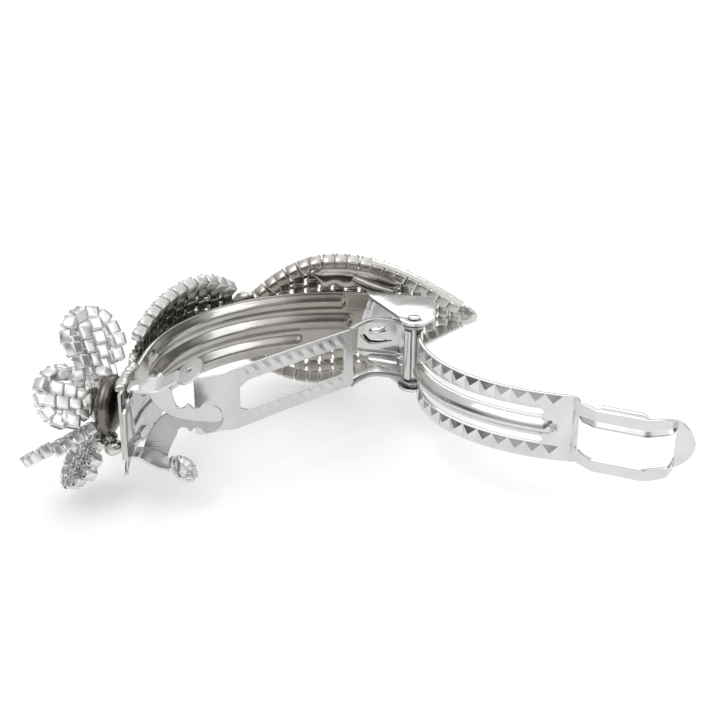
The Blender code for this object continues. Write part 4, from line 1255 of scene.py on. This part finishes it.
def build_leaf(tag, path, length, z0, z1, width, offset, curl, peak, rim_t0, rim_t1, inner_mat, rim_mat, nodes, pitch=1.9, band=None):
    f, half = leaf_surface(path, length, z0, z1, width, offset, curl, peak)
    bc, bs = bmesh.new(), bmesh.new()
    # the field: strands side by side that spread with the leaf, so that they always meet the rims
    cols = int(length / pitch)
    prev = []
    for c in range(cols + 1):
        t = (c + 0.25) * pitch / length
        room = half(t) - 0.93 * pitch
        row = []
        if 0.04 < t < 0.97 and room > -0.25 * pitch:
            n_r = 1 if room < 0.35 * pitch else int(math.ceil(2 * room / pitch - 0.15)) + 1
            for r in range(n_r):
                y = 0.0 if n_r == 1 else -room + 2 * room * r / (n_r - 1)
                ac, al, n = leaf_frame(f, t, y, length)
                p = f(t, y)
                add_cup(bc, bs, frame_at(p, ac, al, n), cup=pitch - 0.2, height=1.15)
                row.append((y, p, n))
            for (ya, pa, na), (yb, pb, nb) in zip(row, row[1:]):
                link_bar(bc, pa, pb, na, 0.5, 0.3)
            # the end cups are soldered to the rims
            ya, pa, na = row[-1]
            link_bar(bc, pa, f(t, max(half(t), 0.3)), na, 0.5, 0.3)
            ya, pa, na = row[0]
            link_bar(bc, pa, f(t, -max(half(t), 0.3)), na, 0.5, 0.3)
            for ya, pa, na in row:
                if prev:
                    yb, pb, nb = min(prev, key=lambda e: abs(e[0] - ya))
                    if (pa - pb).length < pitch * 1.5:
                        link_bar(bc, pa, pb, na, 0.5, 0.3)
        prev = row
    chain_pieces("leaf_%s_field" % tag, bc, bs, inner_mat, [nodes[0]])
    # rims
    for sg, node, nm in ((1, nodes[1], "upper"), (-1, nodes[2], "lower")):
        bc, bs = bmesh.new(), bmesh.new()
        probe = [f(rim_t0 + (rim_t1 - rim_t0) * i / 200, sg * max(half(rim_t0 + (rim_t1 - rim_t0) * i / 200), 0.35)) for i in range(201)]
        acc = [0.0]
        for a, b in zip(probe, probe[1:]):
            acc.append(acc[-1] + (b - a).length)
        n_c = max(2, int(round(acc[-1] / 1.93)))
        prev = None
        for i in range(n_c):
            want = acc[-1] * (i + 0.5) / n_c
            j = next(q for q in range(201) if acc[q] >= want)
            p = probe[j]
            tan = (probe[min(200, j + 3)] - probe[max(0, j - 3)]).normalized()
            t = rim_t0 + (rim_t1 - rim_t0) * j / 200
            _, _, n = leaf_frame(f, t, sg * half(t) * 0.9, length)
            n = (n - tan * n.dot(tan)).normalized()
            out = tan.cross(n).normalized()
            if out.z * sg < 0:
                out = -out
            tilt = rad(12)
            n2 = (n * math.cos(tilt) + out * math.sin(tilt)).normalized()
            o2 = n2.cross(tan).normalized()
            add_cup(bc, bs, frame_at(p + n * 0.15, o2, n2.cross(o2).normalized() * 1.0, n2), cup=1.86, height=1.7)
            if prev is not None:
                link_bar(bc, prev, p + n * 0.15, n, 0.9, 0.6)
            prev = p + n * 0.15
        if band is not None and band[0] == sg:
            pts, outs = [], []
            for q in range(0, 201, 4):
                t = rim_t0 + (rim_t1 - rim_t0) * q / 200
                if t < band[1]:
                    continue
                p = probe[q]
                tan = (probe[min(200, q + 3)] - probe[max(0, q - 3)]).normalized()
                _, _, n = leaf_frame(f, t, sg * half(t) * 0.9, length)
                n = (n - tan * n.dot(tan)).normalized()
                out = tan.cross(n).normalized()
                if out.z * sg < 0:
                    out = -out
                pts.append((p + n * 0.15, out, n))
            P = []
            for p, out, n in pts:
                prof = [(0.55, -0.78), (0.92, -0.74), (1.06, -0.5), (1.08, 0.0), (1.06, 0.5), (0.98, 0.72), (0.84, 0.74), (0.84, -0.3), (0.55, -0.5)]
                P.append([p + out * a + n * b for a, b in prof] + [p + out * prof[0][0] + n * prof[0][1]])
            gb = bmesh.new()
            grid(gb, P)
            bmesh.ops.remove_doubles(gb, verts=gb.verts, dist=0.0005)
            bmesh.ops.holes_fill(gb, edges=[e for e in gb.edges if e.is_boundary])
            ob = mesh_object("leaf_%s_edge_band" % tag, gb, rim_mat)
            place(ob, "base", (), 50)
        chain_pieces("leaf_%s_rim_%s" % (tag, nm), bc, bs, rim_mat, [node])
    return f, half


def post(bm, f, t, y, z):
    """Solder post from the base plate's decorated face to a leaf's back, flared at both ends."""
    q = f(t, y, 0.25)
    s = min(frange(2.0, 66.0, 320), key=lambda e: (BASE.point(e, z, 0.0) - q).length)
    a = BASE.point(s, z, -0.1)
    tube(bm, [a + (q - a) * (i / 12) for i in range(13)], lambda g: 0.75 + 1.0 * abs(2 * g - 1) ** 3, 20)


def leaf_backing(name, f, half, t0, t1, depth, mat):
    """Smooth sheet soldered over the backs of the outer strands."""
    P = []
    for t in frange(t0, t1, 44):
        e = smooth(0.0, 0.06, t - t0) * smooth(0.0, 0.08, t1 - t)
        top = half(t) - 0.75
        low = top - depth * (0.35 + 0.65 * e) - 0.25 * math.sin(t * 70.0)
        P.append([f(t, low + (top - low) * k / 12, -0.45 - 0.5 * math.sin(math.pi * k / 12)) for k in range(13)])
    bm = bmesh.new()
    grid(bm, P)
    ob = mesh_object(name, bm, mat)
    thicken(ob, 0.3, 0.06, 2, 60)
    settle(ob)
    place(ob, "base", (), 60)


def build_leaves():
    f, half = build_leaf("large", BIG, 35.3, -3.4, 1.0, 19.7, 3.4, 1.6, 0.38, 0.06, 0.94, CHAIN_MID, CHAIN_TAN,
                         ["leaf_large_mesh", "leaf_large_rim_upper", "leaf_large_rim_lower"], 1.9, (1, 0.56))
    bm = bmesh.new()
    for t, y, r, sd in ((0.045, 0.0, (1.5, 0.8, 1.2), 1.0), (0.965, 0.2, (1.9, 0.65, 1.5), 2.0)):
        ac, al, n = leaf_frame(f, t, y, 35.3)
        blob(bm, f(t, y, 0.1), (al, n, ac), r, 0.25, sd, 28, 16)
    # curled stem that lies along the leaf's back, towards the hinge
    st = []
    for i in range(15):
        g = i / 14
        st.append(f(0.50 + 0.17 * g, 7.2 - 2.9 * g - 0.5 * math.sin(g * math.pi), -1.35))
    tube(bm, st, lambda g: 0.85 * math.sin(math.pi * min(1, 0.15 + g * 0.8)) ** 0.5, 16)
    # posts that carry the leaf on the base plate
    for t, z in ((0.34, -1.2), (0.56, -1.0)):
        post(bm, f, t, z - (-3.4 + 4.4 * t), z)
    ob = mesh_object("leaf_large_solder", bm, SOLDER)
    place(ob, "base", (), 60)
    leaf_backing("leaf_large_backing", f, half, 0.33, 0.70, 3.4, LEAF_BACK)
    # the small leaf's field uses the darker cup chain: painted shade
    f, half = build_leaf("small", SMALL, 23.0, 1.8, 3.6, 11.5, 2.7, 1.0, 0.6, 0.13, 0.87, CHAIN_PAINTED_SHADE, CHAIN_GREY,
                         ["leaf_small_mesh", "leaf_small_rim_upper", "leaf_small_rim_lower"], 1.85)
    bm = bmesh.new()
    for t, y, r, sd in ((0.07, 0.0, (1.3, 0.7, 0.9), 5.0), (0.93, 0.2, (2.1, 0.8, 1.5), 6.0)):
        ac, al, n = leaf_frame(f, t, y, 23.0)
        blob(bm, f(t, y, 0.1), (al, n, ac), r, 0.25, sd, 28, 16)
    post(bm, f, 0.42, -1.0, -1.0 + 1.8 + 1.9 * 0.42)
    # solder run that joins the decoration to the base plate's edge
    for s, sd in ((4.6, 11.0), (7.0, 12.0), (9.4, 13.0)):
        th = BASE.at(s)[2]
        d = (BASE.point(s + 0.2, 0, 0) - BASE.point(s - 0.2, 0, 0)).normalized()
        n = (BASE.point(s, 0, 1) - BASE.point(s, 0, 0)).normalized()
        blob(bm, BASE.point(s, 4.75, -0.45), (d, n, (0, 0, 1)), (1.7, 0.85, 0.85), 0.2, sd, 28, 16)
    ob = mesh_object("leaf_small_solder", bm, SOLDER)
    place(ob, "base", (), 60)


def tube(bm, pts, radius, n=14):
    rings = []
    for i, p in enumerate(pts):
        a, b = pts[max(0, i - 1)], pts[min(len(pts) - 1, i + 1)]
        t = (b - a).normalized()
        u = t.orthogonal().normalized()
        v = t.cross(u)
        r = radius(i / (len(pts) - 1))
        rings.append([bm.verts.new(p + (u * math.cos(2 * math.pi * k / n) + v * math.sin(2 * math.pi * k / n)) * r) for k in range(n)])
    for a, b in zip(rings, rings[1:]):
        for k in range(n):
            bm.faces.new((a[k], a[(k + 1) % n], b[(k + 1) % n], b[k]))
    bm.faces.new(rings[0][::-1])
    bm.faces.new(rings[-1])


build_base()
build_catch()
build_bracket()
build_arm("latch_arm_upper", 1, 26.0, 3.9, "latch_upper", NICKEL_SOFT)
build_arm("latch_arm_lower", -1, 50.0, 2.9, "latch_lower", BRUSHED)
build_bar()
build_lever()
build_flower()
build_leaves()


# ------------------------------------------------------------------ stage, light, camera
def plane(name, size, loc, mat, rot=(0, 0, 0), camera=True):
    bm = bmesh.new()
    bmesh.ops.create_grid(bm, x_segments=1, y_segments=1, size=0.5)
    me = bpy.data.meshes.new(name)
    bm.to_mesh(me)
    bm.free()
    me.materials.append(mat)
    ob = link(bpy.data.objects.new(name, me))
    ob.scale = (size[0], size[1], 1.0)
    ob.location = loc
    ob.rotation_euler = rot
    ob.visible_camera = camera
    return ob


FLOOR, nt, b = tree("studio_floor")
b.inputs["Base Color"].default_value = (0.80, 0.80, 0.80, 1)
b.inputs["Roughness"].default_value = 0.9
b.inputs["Specular IOR Level"].default_value = 0.0
b.inputs["Emission Color"].default_value = (1, 1, 1, 1)
b.inputs["Emission Strength"].default_value = 0.26
plane("studio_floor", (6.0, 6.0), (0, 0, -0.0006), FLOOR)


def area(name, loc, aim, size, energy):
    li = bpy.data.lights.new(name, "AREA")
    li.shape = "RECTANGLE"
    li.size, li.size_y = size
    li.energy = energy
    ob = link(bpy.data.objects.new(name, li))
    ob.location = loc
    ob.rotation_euler = (Vector(aim) - Vector(loc)).to_track_quat("-Z", "Y").to_euler()
    return ob


area("key_soft", (-0.30, -0.20, 0.75), (0, 0, 0.01), (0.45, 0.45), 1.6)
area("fill_soft", (0.65, -0.25, 0.45), (0, 0, 0.01), (0.4, 0.4), 0.6)
area("back_soft", (0.1, 0.7, 0.5), (0, 0, 0.01), (0.6, 0.3), 0.8)

world = bpy.data.worlds.new("studio")
bpy.context.scene.world = world
world.use_nodes = True
nt = world.node_tree
bg = nt.nodes["Background"]
tc = nt.nodes.new("ShaderNodeTexCoord")
sep = nt.nodes.new("ShaderNodeSeparateXYZ")
nt.links.new(tc.outputs["Generated"], sep.inputs["Vector"])
base = ramp(nt, sep.outputs["Z"], ((0.0, (0.62, 0.62, 0.61)), (0.12, (0.46, 0.455, 0.445)), (0.32, (0.60, 0.595, 0.585)), (0.6, (0.78, 0.78, 0.775)), (0.85, (0.92, 0.92, 0.92))))


def patch(colour, direction, lo, hi, gain):
    """Change the studio's light round one direction: a dark card below 1, a white one above."""
    dot = nt.nodes.new("ShaderNodeVectorMath")
    dot.operation = "DOT_PRODUCT"
    dot.inputs[1].default_value = Vector(direction).normalized()
    nt.links.new(tc.outputs["Generated"], dot.inputs[0])
    f = remap(nt, dot.outputs["Value"], lo, hi, 1.0, gain)
    mul = nt.nodes.new("ShaderNodeVectorMath")
    mul.operation = "SCALE"
    nt.links.new(colour, mul.inputs[0])
    nt.links.new(f, mul.inputs["Scale"])
    return mul.outputs["Vector"]


for direction, lo, hi, gain in (
        ((0.1, -1.0, 0.55), 0.90, 0.97, 0.30),
        ((-1.0, -0.25, 0.15), 0.90, 0.97, 0.25),
        ((1.0, 0.35, 0.30), 0.92, 0.98, 0.25),
        ((-0.55, -0.75, 0.9), 0.955, 0.975, 1.5),
        ((0.75, -0.5, 0.9), 0.96, 0.98, 1.6),
        ((0.0, 0.35, 1.0), 0.95, 0.97, 1.3)):
    base = patch(base, direction, lo, hi, gain)
nt.links.new(base, bg.inputs["Color"])
bg.inputs["Strength"].default_value = 1.0

# camera: the clip lies on its edge and is seen from above its hair side
D, FOC, TAU, ROLL, TX, TZ = 199.363734, 1305.19904, 0.438281330, -0.00989054612, -6.56180955, -3.63767093
ex, eu, eb = Vector((1, 0, 0)), Vector((0, math.sin(TAU), math.cos(TAU))), Vector((0, -math.cos(TAU), math.sin(TAU)))
xc = ex * math.cos(ROLL) - eu * math.sin(ROLL)
uc = ex * math.sin(ROLL) + eu * math.cos(ROLL)
pos = (Vector((TX, -D * math.cos(TAU), TZ + D * math.sin(TAU))) - ORIGIN) * MM
cam = bpy.data.cameras.new("camera")
cam.sensor_width = 36.0
cam.lens = FOC / 720 * 36
cam.clip_start, cam.clip_end = 0.001, 20.0
co = link(bpy.data.objects.new("camera", cam))
co.matrix_world = Matrix(((xc.x, uc.x, eb.x, pos.x), (xc.y, uc.y, eb.y, pos.y), (xc.z, uc.z, eb.z, pos.z), (0, 0, 0, 1)))
bpy.context.scene.camera = co
bpy.context.scene.view_settings.view_transform = "Standard"
